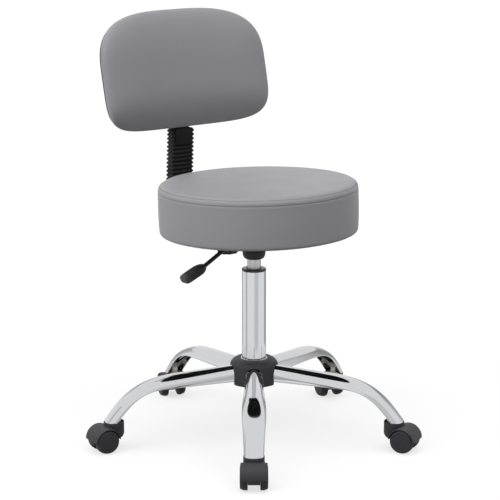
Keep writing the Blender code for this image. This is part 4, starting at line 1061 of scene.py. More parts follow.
class Repeats:
    """Small shapes set along lines and on points by geometry nodes."""

    @staticmethod
    def tree(name: str, inputs: dict[str, str]) -> tuple[Graph, dict, Socket, dict[str, str]]:
        """Start a tree with a geometry input and output.

        Args:
            name: Name of the tree.
            inputs: Socket type of each further input.

        Returns:
            The graph, the input sockets, the output socket and each input's identifier.
        """
        tree = bpy.data.node_groups.new(name, "GeometryNodeTree")
        tree.interface.new_socket("Geometry", in_out="INPUT", socket_type="NodeSocketGeometry")
        keys = {}
        for label, kind in inputs.items():
            keys[label] = tree.interface.new_socket(label, in_out="INPUT", socket_type=kind).identifier
        tree.interface.new_socket("Geometry", in_out="OUTPUT", socket_type="NodeSocketGeometry")
        graph = Graph(tree)
        start = graph.node("NodeGroupInput")
        end = graph.node("NodeGroupOutput")
        given = {label: start.outputs[label] for label in ["Geometry", *inputs]}
        return graph, given, end.inputs["Geometry"], keys

    @staticmethod
    def realised(graph: Graph, points: object, shape: object, rotation: object, material: object,
                 result: Socket) -> None:
        """Set a shape on points, make it real and give it its material.

        Args:
            graph: The tree's graph.
            points: Where the shapes go.
            shape: The shape.
            rotation: Its turn at each point.
            material: Its material.
            result: The socket to feed.
        """
        values = {"Points": points, "Instance": shape, "Rotation": rotation}
        instances = graph.node("GeometryNodeInstanceOnPoints", values).outputs["Instances"]
        real = graph.node("GeometryNodeRealizeInstances", {"Geometry": instances}).outputs["Geometry"]
        final = graph.node("GeometryNodeSetMaterial", {"Geometry": real, "Material": material})
        graph.feed(result, final.outputs["Geometry"])

    @staticmethod
    def run(mesh: Mesh, graph: Graph, keys: dict[str, str], values: dict[str, object]) -> Mesh:
        """Run a tree on a mesh.

        Args:
            mesh: The line or points to work on.
            graph: The tree's graph.
            keys: Identifier of each input.
            values: Value of each input; a mesh stands on a working object while the tree runs.

        Returns:
            The plain result.
        """
        models = {label: carrier_of(value) for label, value in values.items() if isinstance(value, Mesh)}
        carrier = carrier_of(mesh)
        modifier = carrier.modifiers.new("repeats", "NODES")
        modifier.node_group = graph.tree
        for label, value in {**values, **models}.items():
            modifier[keys[label]] = value
        carrier.update_tag()
        bpy.context.view_layer.update()
        result = baked(carrier, weld=False)
        for model in models.values():
            bpy.data.objects.remove(model, do_unlink=True)
        return result

    @staticmethod
    def along(graph: Graph, given: dict[str, Socket], axis: str, pivot: str) -> tuple[Socket, Socket]:
        """Even points on the tree's line, with the turn that lays a shape along it.

        Args:
            graph: The tree's graph.
            given: Its inputs, with the line and the count.
            axis: The shape's axis that follows the line.
            pivot: The axis it turns about.

        Returns:
            The points and the turn.
        """
        curve = graph.node("GeometryNodeMeshToCurve", {"Mesh": given["Geometry"]}).outputs["Curve"]
        even = graph.node("GeometryNodeResampleCurve", {"Curve": curve, "Count": given["Count"]})
        tangent = graph.node("GeometryNodeInputTangent").outputs["Tangent"]
        turn = graph.node("FunctionNodeAlignRotationToVector", {"Vector": tangent}, axis=axis, pivot_axis=pivot)
        return even.outputs["Curve"], turn.outputs["Rotation"]

    @classmethod
    def beads_on_line(cls, name: str, line: Sequence[Vector], count: int, size: Sequence[float],
                      material: Material) -> Mesh:
        """Set flat beads, such as stitches, end to end along a closed line.

        Args:
            name: Name of the tree.
            line: Points of the closed line.
            count: Number of beads.
            size: Length along the line, width and height of a bead.
            material: Material of the beads.

        Returns:
            The beads as one mesh.
        """
        inputs = {"Count": "NodeSocketInt", "Bead Size": "NodeSocketVector", "Material": "NodeSocketMaterial"}
        graph, given, result, keys = cls.tree(name, inputs)
        even, turn = cls.along(graph, given, "X", "AUTO")
        ball = graph.node("GeometryNodeMeshUVSphere", {"Segments": 6, "Rings": 5, "Radius": 0.5}).outputs["Mesh"]
        bead = graph.node("GeometryNodeTransform", {"Geometry": ball, "Scale": given["Bead Size"]})
        cls.realised(graph, even, bead.outputs["Geometry"], turn, given["Material"], result)
        values = {"Count": count, "Bead Size": tuple(size), "Material": material}
        return cls.run(cls.line_mesh(name, line, loop=True), graph, keys, values)

    @classmethod
    def shapes_on_path(cls, name: str, path: Sequence[Vector], count: int, shape: Mesh, material: Material) -> Mesh:
        """Set a shape at even steps along an open path, its Z along the path and its X kept level.

        Args:
            name: Name of the tree.
            path: Points of the path.
            count: Number of shapes.
            shape: The shape about the origin.
            material: Its material.

        Returns:
            The shapes as one mesh.
        """
        inputs = {"Count": "NodeSocketInt", "Shape": "NodeSocketObject", "Material": "NodeSocketMaterial"}
        graph, given, result, keys = cls.tree(name, inputs)
        even, turn = cls.along(graph, given, "Z", "X")
        info = graph.node("GeometryNodeObjectInfo", {"Object": given["Shape"]}).outputs["Geometry"]
        cls.realised(graph, even, info, turn, given["Material"], result)
        values = {"Count": count, "Shape": shape, "Material": material}
        return cls.run(cls.line_mesh(name, path), graph, keys, values)

    @classmethod
    def shapes_on_points(cls, name: str, points: Sequence[Vector], outward: Sequence[Vector], shape: Mesh,
                         material: Material) -> Mesh:
        """Set a shape, such as a screw head, on points with its Z outwards.

        Args:
            name: Name of the tree.
            points: Places of the shapes.
            outward: Direction of each.
            shape: The shape about the origin.
            material: Its material.

        Returns:
            The shapes as one mesh.
        """
        graph, given, result, keys = cls.tree(name, {"Shape": "NodeSocketObject", "Material": "NodeSocketMaterial"})
        way = graph.node("GeometryNodeInputNamedAttribute", {"Name": "outward"}, data_type="FLOAT_VECTOR")
        vector = next(s for s in way.outputs if s.name == "Attribute" and s.enabled)
        turn = graph.node("FunctionNodeAlignRotationToVector", {"Vector": vector}, axis="Z", pivot_axis="AUTO")
        info = graph.node("GeometryNodeObjectInfo", {"Object": given["Shape"]}).outputs["Geometry"]
        cls.realised(graph, given["Geometry"], info, turn.outputs["Rotation"], given["Material"], result)
        mesh = bpy.data.meshes.new(name)
        mesh.from_pydata([tuple(p) for p in points], [], [])
        attribute = mesh.attributes.new("outward", "FLOAT_VECTOR", "POINT")
        for item, direction in zip(attribute.data, outward):
            item.vector = direction
        return cls.run(mesh, graph, keys, {"Shape": shape, "Material": material})

    @staticmethod
    def line_mesh(name: str, points: Sequence[Vector], loop: bool = False) -> Mesh:
        """A mesh of edges through points.

        Args:
            name: Name of the mesh.
            points: The points.
            loop: Whether the line is closed.

        Returns:
            The mesh.
        """
        mesh = bpy.data.meshes.new(name)
        edges = [(k, k + 1) for k in range(len(points) - 1)]
        if loop:
            edges.append((len(points) - 1, 0))
        mesh.from_pydata([tuple(p) for p in points], edges, [])
        return mesh


@dataclass(frozen=True)
class ClothSwell:
    """A cloth run that swells a covered pad from inside."""

    voxel: float = 0.005
    pressure: float = 4.0
    last_frame: int = 20
    stiffness: float = 2.0
    cap: float = 0.0016
    neighbours: int = 6
    ease_rounds: int = 120

    def eased(self, mesh: Mesh, moves: Sequence[Vector]) -> list[Vector]:
        """Draw wrinkles out of the moves, as a tight cover does.

        Args:
            mesh: The skin whose edges say which points are neighbours.
            moves: One move for each point of the skin.

        Returns:
            The moves, each averaged with its neighbours' a number of times.
        """
        for _ in range(self.ease_rounds):
            sums = [move.copy() for move in moves]
            counts = [1] * len(sums)
            for edge in mesh.edges:
                first, second = edge.vertices
                sums[first] += moves[second]
                sums[second] += moves[first]
                counts[first] += 1
                counts[second] += 1
            moves = [total / count for total, count in zip(sums, counts)]
        return list(moves)

    def settle(self, mesh: Mesh, grip: Callable[[Vector], float]) -> None:
        """Swell a closed mesh in place.

        Args:
            mesh: The pad's mesh, which is changed.
            grip: How firmly a point is held, from 0 to 1.
        """
        blank = carrier_of(mesh.copy())
        remesh = blank.modifiers.new("even_skin", "REMESH")
        remesh.mode = "VOXEL"
        remesh.voxel_size = self.voxel
        skin = carrier_of(baked(blank, weld=False))
        held = skin.vertex_groups.new(name="held")
        starts = [vertex.co.copy() for vertex in skin.data.vertices]
        for index, start in enumerate(starts):
            held.add([index], grip(start), "REPLACE")
        cloth = skin.modifiers.new("swell", "CLOTH")
        cloth.settings.vertex_group_mass = held.name
        cloth.settings.use_pressure = True
        cloth.settings.uniform_pressure_force = self.pressure
        cloth.settings.effector_weights.gravity = 0.0
        cloth.settings.bending_stiffness = self.stiffness
        cloth.point_cache.frame_start = 1
        cloth.point_cache.frame_end = self.last_frame
        scene = bpy.context.scene
        for number in range(1, self.last_frame + 1):
            scene.frame_set(number)
        depsgraph = bpy.context.evaluated_depsgraph_get()
        ends = [vertex.co.copy() for vertex in skin.evaluated_get(depsgraph).data.vertices]
        tree = KDTree(len(starts))
        moves = []
        for index, (start, end) in enumerate(zip(starts, ends)):
            tree.insert(start, index)
            move = end - start
            moves.append(move * min(1.0, self.cap / max(move.length, TINY)))
        tree.balance()
        moves = self.eased(skin.data, moves)
        for vertex in mesh.vertices:
            total = Vector((0.0, 0.0, 0.0))
            weight = 0.0
            for _, index, distance in tree.find_n(vertex.co, self.neighbours):
                share = 1.0 / (distance + self.voxel / 4)
                total += moves[index] * share
                weight += share
            vertex.co += total / weight
        scene.frame_set(1)
        bpy.data.objects.remove(skin, do_unlink=True)
        mesh.update()
        LOG.info("%s swollen by cloth, largest move %.1f mm", mesh.name, max(m.length for m in moves) * 1000)


# Places

@dataclass(frozen=True)
class Layout:
    """Axes and frames of the stool, taken from its joints."""

    column: Vector
    seat: Matrix
    seat_pad: Matrix
    back: Matrix
    lever: Matrix
    casters: tuple[Matrix, ...]
    depth_knob_reach: float = 0.094
    height_knob_drop: float = 0.058
    seat_forward: float = 0.017

    @classmethod
    def read(cls, joints: Sequence[dict]) -> "Layout":
        """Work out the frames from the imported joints.

        Args:
            joints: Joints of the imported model.

        Returns:
            The layout.
        """
        named = {joint["name"]: joint for joint in joints}
        column = Vector(named["seat_swivel"]["pos_m"])
        column.z = 0.0
        rear = Vector(named["back_depth"]["axis"]).normalized()
        knob = Vector(named["depth_knob_turn"]["pos_m"])
        seat = cls.axes(rear, knob - rear * cls.depth_knob_reach)
        up = Vector(named["back_height"]["axis"]).normalized()
        back_rear = up.cross(Vector((1.0, 0.0, 0.0)))
        back = cls.axes(back_rear, Vector(named["height_knob_turn"]["pos_m"]) + up * cls.height_knob_drop)
        lever = cls.axes(rear, Vector(named["lever_lift"]["pos_m"]))
        casters = []
        for number in range(1, 6):
            axle = Vector(named[f"wheel_{number}_left_spin"]["axis"])
            if axle.dot(cls.left_of(named, number)) < 0:
                axle.negate()
            casters.append(cls.axes(axle, Vector(named[f"caster_{number}_swivel"]["pos_m"])))
        pad = seat @ Matrix.Translation((0.0, -cls.seat_forward, 0.0))
        return cls(column, seat, pad, back, lever, tuple(casters))

    @staticmethod
    def left_of(named: dict[str, dict], number: int) -> Vector:
        """Direction from a caster's right wheel to its left one."""
        left = Vector(named[f"wheel_{number}_left_spin"]["pos_m"])
        return left - Vector(named[f"wheel_{number}_right_spin"]["pos_m"])

    @staticmethod
    def axes(y_axis: Vector, origin: Vector) -> Matrix:
        """A frame from its Y axis, with Z as near to up as it can be.

        Args:
            y_axis: Direction of Y.
            origin: Its origin.

        Returns:
            The frame.
        """
        y = y_axis.normalized()
        x = y.cross(Vector((0.0, 0.0, 1.0))).normalized()
        z = x.cross(y)
        matrix = Matrix((x, y, z)).transposed().to_4x4()
        matrix.translation = origin
        return matrix


# Base

@dataclass
class Legs:
    """Five stamped channel legs in chrome."""

    first_angle: float = math.radians(-126)
    count: int = 5
    sheet: float = 0.0022
    reach: float = 0.3168
    end_z: float = 0.060
    root_z: float = 0.1555
    root_depth: float = 0.0325
    end_depth: float = 0.021
    fall: float = math.radians(3.5)
    end_slope: float = math.radians(52)
    inner_slope: float = math.radians(50)
    bend_radius: float = 0.160
    inner_bend_radius: float = 0.090
    root_width: float = 0.037
    bend_width: float = 0.048
    end_width: float = 0.040
    widest_reach: float = 0.245
    root_roundness: float = 2.1
    end_roundness: float = 2.8
    hub_radius: float = 0.033
    rim_round: float = 0.0007
    rim_angle: float = 55.0
    steps: int = 72
    calm_rounds: int = 22
    section_steps: int = 30

    def angle(self, index: int) -> float:
        """Direction of a leg about the column."""
        return self.first_angle + 2 * math.pi * index / self.count

    def edge(self, root_z: float, fall: float, end_reach: float, slope: float, radius: float) -> list[Vector]:
        """Side view of one edge of a leg, from inside the hub to just under its cut end.

        Args:
            root_z: Height at the hub.
            fall: Slope of its inner part.
            end_reach: Reach at the cut.
            slope: Slope of its outer part.
            radius: Radius of its bend.

        Returns:
            (reach, height) points.
        """
        start = Vector((self.hub_radius / 2, root_z + math.tan(fall) * self.hub_radius / 2))
        spare = self.sheet * 2
        end = Vector((end_reach + spare / math.tan(slope), self.end_z - spare))
        bend = (end.y - start.y + math.tan(slope) * end.x - math.tan(fall) * start.x)
        bend /= math.tan(slope) - math.tan(fall)
        corner = Vector((bend, start.y - math.tan(fall) * (bend - start.x)))
        path = rounded_path([start, corner, end], [radius], self.steps)
        return calmed(spaced(path, self.steps), self.calm_rounds)

    def width(self, reach: float) -> float:
        """Width of a leg, widest at its bend.

        Args:
            reach: Distance from the column.

        Returns:
            The width.
        """
        if reach < self.widest_reach:
            share = ease((reach - self.hub_radius) / (self.widest_reach - self.hub_radius))
            return self.root_width + (self.bend_width - self.root_width) * share
        share = ease((reach - self.widest_reach) / (self.reach - self.widest_reach))
        return self.bend_width + (self.end_width - self.bend_width) * share

    def roundness(self, reach: float) -> float:
        """Exponent of a leg's section, rounder at the hub than at the end."""
        share = min(max((reach - self.hub_radius) / (self.reach - self.hub_radius), 0.0), 1.0)
        return self.root_roundness + (self.end_roundness - self.root_roundness) * share ** 3

    @staticmethod
    def arch(inner: Vector, outer: Vector, width: float, power: float, steps: int) -> list[Point]:
        """A round-topped arch across a leg, from one lower edge over the top to the other.

        Args:
            inner: Middle between the lower edges.
            outer: Top of the arch.
            width: Its width.
            power: Exponent of the section.
            steps: Steps over the arch.

        Returns:
            (reach, aside, height) points.
        """
        points = []
        for k in range(steps + 1):
            angle = math.pi * k / steps
            aside = width / 2 * signed_power(math.cos(angle), 2 / power)
            place = inner.lerp(outer, max(math.sin(angle), 0.0) ** (2 / power))
            points.append((place.x, aside, place.y))
        return points

    def shape(self) -> Mesh:
        """One leg along +X: a bent sheet, cut level for the caster and upright at the hub.

        Returns:
            The mesh.
        """
        outer = self.edge(self.root_z, self.fall, self.reach, self.end_slope, self.bend_radius)
        low_z, inner_reach = self.root_z - self.root_depth, self.reach - self.end_depth
        inner = self.edge(low_z, 0.0, inner_reach, self.inner_slope, self.inner_bend_radius)
        rows = []
        for low, high in zip(inner, outer):
            arch = self.arch(low, high, self.width(high.x), self.roundness(high.x), 4 * self.section_steps)
            rows.append(spaced([Vector(point) for point in arch], self.section_steps + 1))
        sheet = thickened(lofted("leg", rows, closed=False, outward=False), self.sheet, -1.0)
        sliced(sheet, (0.0, 0.0, self.end_z), (0.0, 0.0, -1.0))
        sliced(sheet, (self.hub_radius, 0.0, 0.0), (-1.0, 0.0, 0.0))
        return softened(sheet, self.rim_round, degrees=self.rim_angle)

    def build(self, shop: Workshop, layout: Layout) -> None:
        """Add the five legs and dress their stem sockets.

        Args:
            shop: Takes the pieces.
            layout: The stool's frames.
        """
        pattern = self.shape()
        for k in range(self.count):
            place = Matrix.Translation(layout.column) @ Matrix.Rotation(self.angle(k), 4, "Z")
            name = f"leg_{k + 1}"
            shop.add(f"chrome_{name}", placed(pattern.copy(), place), CHROME, "base", [name])
            shop.dress(ZINC, f"stem_socket_{k + 1}", f"caster_stem_{k + 1}", f"caster_axle_{k + 1}")


@dataclass
class Hub:
    """Hub core with its barrel-shaped cover, which has an arch over each leg."""

    bottom_z: float = 0.117
    top_z: float = 0.167
    radius: float = 0.033
    neck_radius: float = 0.028
    neck_height: float = 0.008
    bore: float = 0.0253
    cover_radius: float = 0.0494
    cover_skirt: float = 0.0532
    cover_bottom_z: float = 0.1166
    cover_dome: float = 0.0165
    cover_wall: float = 0.0024
    cover_foot: float = 0.004
    cover_tuck: float = 0.6
    arch_gap: float = 0.0006
    arch_roundness: float = 2.5
    arch_spare: float = 0.01
    lip: float = 0.0008
    sides: int = 120
    dome_steps: int = 14
    side_steps: int = 24
    arch_steps: int = 36

    def core(self) -> Mesh:
        """The steel hub with a chamfered neck.

        Returns:
            The mesh.
        """
        shoulder = self.top_z - self.neck_height
        lip = self.lip
        profile = [
            (self.neck_radius - lip, self.top_z), (self.neck_radius, self.top_z - lip), (self.neck_radius, shoulder),
            (self.radius, shoulder), (self.radius, self.bottom_z), (self.bore, self.bottom_z),
            (self.bore, self.top_z - lip), (self.bore + lip, self.top_z),
        ]
        return turned("hub_core", profile, self.sides, looped=True)

    def cover_line(self, inset: float) -> list[tuple[float, float]]:
        """Outside of the cover from its hole down to its skirt.

        Args:
            inset: How far the line is drawn in.

        Returns:
            (radius, height) points.
        """
        hole = self.neck_radius + RUN_GAP
        brim_z = self.top_z + FIT_GAP - self.cover_dome
        wide, high = self.cover_radius - inset - hole, self.cover_dome - inset
        points = [(hole + wide * across, brim_z + high * rise) for rise, across in quarter(self.dome_steps)]
        for k in range(1, self.side_steps + 1):
            share = k / self.side_steps
            height = brim_z + (self.cover_bottom_z - brim_z) * share
            radius = self.cover_radius + (self.cover_skirt - self.cover_radius) * share
            tuck = ease(1 - (height - self.cover_bottom_z) / self.cover_foot)
            points.append((radius - inset - self.cover_wall * self.cover_tuck * tuck ** 2, height))
        return points

    def arch(self, legs: Legs) -> Mesh:
        """The room for one leg along +X.

        Args:
            legs: The legs.

        Returns:
            A closed cutter.
        """
        rows = []
        for reach in ((self.bore + self.neck_radius) / 2, self.cover_radius * 2):
            top = legs.root_z - math.tan(legs.fall) * (reach - legs.hub_radius) + self.arch_gap
            low = Vector((reach, legs.root_z - legs.root_depth))
            width = legs.width(self.cover_radius) + 2 * self.arch_gap
            line = legs.arch(low, Vector((reach, top)), width, self.arch_roundness, self.arch_steps)
            foot = self.cover_bottom_z - self.arch_spare
            rows.append(line + [(reach, line[-1][1], foot), (reach, line[0][1], foot)])
        return lofted("cover_arch", rows, capped=True)

    def build(self, shop: Workshop, layout: Layout, legs: Legs) -> None:
        """Add the core and its cover.

        Args:
            shop: Takes the pieces.
            layout: The stool's frames.
            legs: The legs that it covers.
        """
        place = Matrix.Translation(layout.column)
        shop.add("chrome_hub_core", placed(self.core(), place), CHROME, "base", ["hub_core"])
        line = self.cover_line(0.0) + self.cover_line(self.cover_wall)[::-1]
        arches = [placed(self.arch(legs), Matrix.Rotation(legs.angle(k), 4, "Z")) for k in range(legs.count)]
        cover = carved(turned("hub_cover", line, self.sides, looped=True), arches)
        cover = softened(cover, self.lip)
        shop.add("moulded_hub_cover", placed(cover, place), CHARCOAL, "base", ["hub_cover"])


@dataclass
class Column:
    """Gas lift: chromed column with its black guide, bright pressure tube and black cup."""

    bottom_z: float = 0.107
    top_z: float = 0.3555
    radius: float = 0.025
    wall: float = 0.002
    floor: float = 0.004
    rod_hole: float = 0.0053
    flange: float = 0.0035
    flange_radius: float = 0.0251
    bush_length: float = 0.058
    tube_radius: float = 0.014
    cup_bottom_z: float = 0.376
    cup_radius: float = 0.0235
    cup_foot: float = 0.0165
    cup_round: float = 0.0125
    cup_top_drop: float = 0.0055
    cup_groove: float = 0.0006
    cup_groove_rise: float = 0.004
    cup_steps: int = 10
    slot_half: float = 0.006
    slot_depth: float = 0.019
    slot_spare: float = 0.01
    slot_round: float = 0.001
    tube_edge: float = 0.001
    tube_pocket: float = 0.004
    flange_gap: float = 0.0001
    seat_z: float = 0.434
    sides: int = 112

    def tube(self) -> Mesh:
        """The outer column with a rolled top edge and a closed floor.

        Returns:
            The mesh.
        """
        inner = self.radius - self.wall
        lip = self.wall / 3
        top = self.top_z - self.flange
        floor = self.bottom_z + self.floor
        profile = [
            (self.radius - lip, top), (self.radius, top - lip), (self.radius, self.bottom_z + self.wall),
            (inner, self.bottom_z), (self.rod_hole, self.bottom_z), (self.rod_hole, floor), (inner, floor),
            (inner, top - lip), (inner + lip / 2, top),
        ]
        return turned("column", profile, self.sides, looped=True)

    def bush(self) -> Mesh:
        """The guide with its flange on the column's edge.

        Returns:
            The mesh.
        """
        bore = self.tube_radius + FIT_GAP
        inner = self.radius - self.wall - FIT_GAP
        seat = self.top_z - self.flange + self.flange_gap
        top, low = self.top_z, self.top_z - self.bush_length
        lip = self.flange / 3
        outer = self.flange_radius
        profile = [
            (bore + 2 * lip, top), (outer - lip, top), (outer - lip * 0.3, top - lip * 0.3), (outer, top - lip),
            (outer, seat), (inner, seat), (inner, low), (bore, low), (bore, top - 2 * lip),
        ]
        return turned("guide", profile, self.sides, looped=True)

    def cup(self) -> Mesh:
        """The taper socket: a bowl with a shallow groove under its rim and a slot for the lever's tip.

        Returns:
            The mesh.
        """
        bore = self.tube_radius + FIT_GAP
        wide, groove = self.cup_radius, self.cup_groove
        top = self.seat_z - self.cup_top_drop
        groove_z = self.cup_bottom_z + self.cup_round + self.cup_groove_rise
        points = [
            (bore, top), (wide, top), (wide, groove_z + 2 * groove), (wide - groove, groove_z + groove),
            (wide - groove, groove_z), (wide, groove_z - groove),
        ]
        for out, down in quarter(self.cup_steps):
            across = self.cup_foot + (wide - self.cup_foot) * out
            points.append((across, self.cup_bottom_z + self.cup_round * (1 - down)))
        points.append((bore, self.cup_bottom_z))
        slot_low = (-2 * wide, -self.slot_half, top - self.slot_depth)
        slot_high = (0.0, self.slot_half, self.seat_z + self.slot_spare)
        bowl = turned("cup", points, self.sides, looped=True)
        return carved(bowl, [block("slot", slot_low, slot_high, self.slot_round)])

    def pressure_tube(self) -> Mesh:
        """The bright inner tube, as long as its node, with the rod's blind hole below.

        Returns:
            The mesh.
        """
        low, high = (corner.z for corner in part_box("pressure_tube"))
        radius, edge, bore, pocket = self.tube_radius, self.tube_edge, self.rod_hole, self.tube_pocket
        profile = [
            (0.0, high), (radius - edge, high), (radius, high - edge), (radius, low + edge), (radius - edge, low),
            (bore, low), (bore, low + pocket), (0.0, low + pocket),
        ]
        return turned("tube", profile, self.sides)

    def build(self, shop: Workshop, layout: Layout) -> None:
        """Add the column's pieces and dress what is inside it.

        Args:
            shop: Takes the pieces.
            layout: The stool's frames.
        """
        place = Matrix.Translation(layout.column)
        shop.add("chrome_column", placed(self.tube(), place), CHROME, "base", ["column_tube"])
        shop.add("black_guide", placed(self.bush(), place), GLOSS_PLASTIC, "base", ["guide_bush"])
        tube = placed(self.pressure_tube(), place)
        shop.add("bright_pressure_tube", tube, TUBE_STEEL, "seat", ["pressure_tube"])
        shop.add("black_taper_cup", placed(self.cup(), place), BLACK_STEEL, "seat", ["taper_socket"])
        shop.dress(ZINC, "thrust_bearing", "piston_rod", "rod_clip", "valve_button")


# Casters

@dataclass
class Casters:
    """Five hooded twin-wheel casters."""

    wheel_radius: float = 0.025
    wheel_width: float = 0.015
    wheel_offset: float = 0.0195
    trail: float = 0.024
    hood_radius: float = 0.0280
    hood_wall: float = 0.0016
    hood_half: float = 0.0262
    hood_round: tuple[float, float] = (0.0060, 0.0019)
    hood_from: float = math.radians(1)
    hood_to: float = math.radians(174)
    web_half: float = 0.0117
    web_from: float = math.radians(-14)
    web_foot: float = 0.0148
    collar_radius: float = 0.0207
    collar_rim: float = 0.0018
    collar_recess: float = 0.0040
    boss_radius: float = 0.0100
    top_z: float = 0.0595
    stem_radius: float = 0.0043
    wheel_face: Profile = (
        (0.0, 0.0004), (0.3, 0.0003), (0.6, 0.0001), (0.64, -0.0003), (0.665, -0.0003), (0.70, 0.0),
    )
    wheel_rim: Profile = (
        (0.0055, 0.0), (0.0038, 0.0003), (0.0028, 0.0010), (0.0021, 0.0022), (0.0013, 0.0042), (0.0006, 0.0062),
        (0.0001, 0.0085), (0.0, 0.0100),
    )
    wheel_edge: float = 0.0015
    axle_bore: float = 0.0033
    axle_end: float = 0.002
    stem_depth: float = 0.021
    collar_lip: float = 0.0004
    collar_side: Profile = (
        (0.0006, 0.0), (0.0001, 0.0004), (0.0, 0.0014), (0.0, 0.023), (0.0007, 0.027), (0.003, 0.0315),
        (0.0075, 0.0352),
    )
    collar_depth: float = 0.0365
    web_knee: float = 0.0225
    web_foot_half: float = 0.0105
    hood_edge: float = 0.0007
    collar_edge: float = 0.0005
    web_edge: float = 0.0006
    wheel_sides: int = 72
    collar_sides: int = 64
    hood_steps: int = 26
    shoulder_steps: int = 8

    def wheel(self) -> Mesh:
        """A wheel about Z, its disc face up: domed cap, shallow ring and rounded rim.

        Returns:
            The mesh.
        """
        face, radius, edge = self.wheel_width / 2, self.wheel_radius, self.wheel_edge
        points = [(radius * share, face + rise) for share, rise in self.wheel_face]
        points += [(radius - drop, face - run) for drop, run in self.wheel_rim]
        points += [(radius, edge - face), (radius - edge * 0.3, edge * 0.3 - face), (radius - edge, -face)]
        points += [(self.axle_bore, -face), (self.axle_bore, self.axle_end), (0.0, self.axle_end)]
        return turned("wheel", points, self.wheel_sides)

    def hood_section(self, shrink: float) -> list[tuple[float, float]]:
        """Across the hood from one edge over the top to the other.

        Args:
            shrink: How far inside the outer skin.

        Returns:
            (aside, radius) points.
        """
        half = self.hood_half - shrink * 0.2
        radius = self.hood_radius - shrink
        aside, drop = (size - shrink * 0.4 for size in self.hood_round)
        bend = quarter(self.shoulder_steps)
        arc = [(half - aside + aside * out, radius - drop + drop * up) for out, up in bend]
        return arc + [(-across, height) for across, height in arc[::-1]]

    def hood(self) -> Mesh:
        """The shell over the wheels, with round shoulders.

        Returns:
            The mesh.
        """
        section = self.hood_section(0.0) + self.hood_section(self.hood_wall)[::-1]
        rows = []
        for k in range(self.hood_steps + 1):
            angle = self.hood_from + (self.hood_to - self.hood_from) * k / self.hood_steps
            back, up = math.cos(angle), math.sin(angle)
            rows.append([(self.trail + r * back, aside, self.wheel_radius + r * up) for aside, r in section])
        return softened(lofted("hood", rows, capped=True), self.hood_edge, degrees=50)

    def collar(self) -> Mesh:
        """The wide neck round the stem: a boss in a shallow cup, and the wheels' room taken out.

        Returns:
            The mesh.
        """
        radius, boss, top, lip = self.collar_radius, self.boss_radius, self.top_z, self.collar_lip
        inner, floor = radius - self.collar_rim, top - self.collar_recess
        profile = [
            (0.0, top - self.stem_depth), (self.stem_radius, top - self.stem_depth), (self.stem_radius, top),
            (boss, top), (boss, floor), (inner, floor), (inner, top - lip), (inner + lip, top),
        ]
        profile += [(radius - inset, top - drop) for inset, drop in self.collar_side]
        body = turned("collar", profile + [(0.0, top - self.collar_depth)], self.collar_sides)
        rooms = []
        for side in Side:
            outs = [side.value[1] * out for out in (self.web_half, 2 * self.hood_half)]
            ends = [(self.trail, out, self.wheel_radius) for out in outs]
            rooms.append(rod("room", self.hood_radius - self.hood_wall + FIT_GAP, *ends, self.wheel_sides))
        return softened(carved(body, rooms), self.collar_edge, degrees=55)

    def web(self) -> Mesh:
        """The plate between the wheels that holds the axle.

        Returns:
            The mesh.
        """
        line = []
        radius = self.hood_radius - self.hood_wall / 2
        for k in range(self.hood_steps + 1):
            angle = self.web_from + (self.hood_to - self.web_from) * k / self.hood_steps
            line.append((self.trail + radius * math.cos(angle), self.wheel_radius + radius * math.sin(angle)))
        line.append((0.0, self.web_knee))
        line += [(self.trail + way * self.web_foot_half, self.web_foot) for way in (-1, 1)]
        rows = [[(x, aside, z) for x, z in line] for aside in (-self.web_half, self.web_half)]
        return softened(lofted("web", rows, capped=True), self.web_edge, degrees=50)

    def build(self, shop: Workshop, layout: Layout) -> None:
        """Add each caster's body and wheels.

        Args:
            shop: Takes the pieces.
            layout: The stool's frames.
        """
        body = joined("caster_body", [self.hood(), self.collar(), self.web()])
        wheel = self.wheel()
        for number, place in enumerate(layout.casters, start=1):
            name = f"caster_{number}"
            hood = placed(body.copy(), self.upright(place))
            shop.add(f"moulded_{name}", hood, CHARCOAL, name, [f"caster_hood_{number}"])
            for side in Side:
                label, way = side.value
                middle = Matrix.Translation((self.trail, way * self.wheel_offset, self.wheel_radius))
                turn = Matrix.Rotation(-way * math.pi / 2, 4, "X")
                node = f"wheel_{number}_{label}"
                rolled = placed(wheel.copy(), self.upright(place) @ middle @ turn)
                shop.add(f"moulded_{node}", rolled, CHARCOAL, node, [node])

    @staticmethod
    def upright(place: Matrix) -> Matrix:
        """A caster's frame with its origin on the floor.

        Args:
            place: The caster's frame.

        Returns:
            The frame on the floor.
        """
        frame = place.copy()
        frame.translation.z = 0.0
        return frame


# Seat

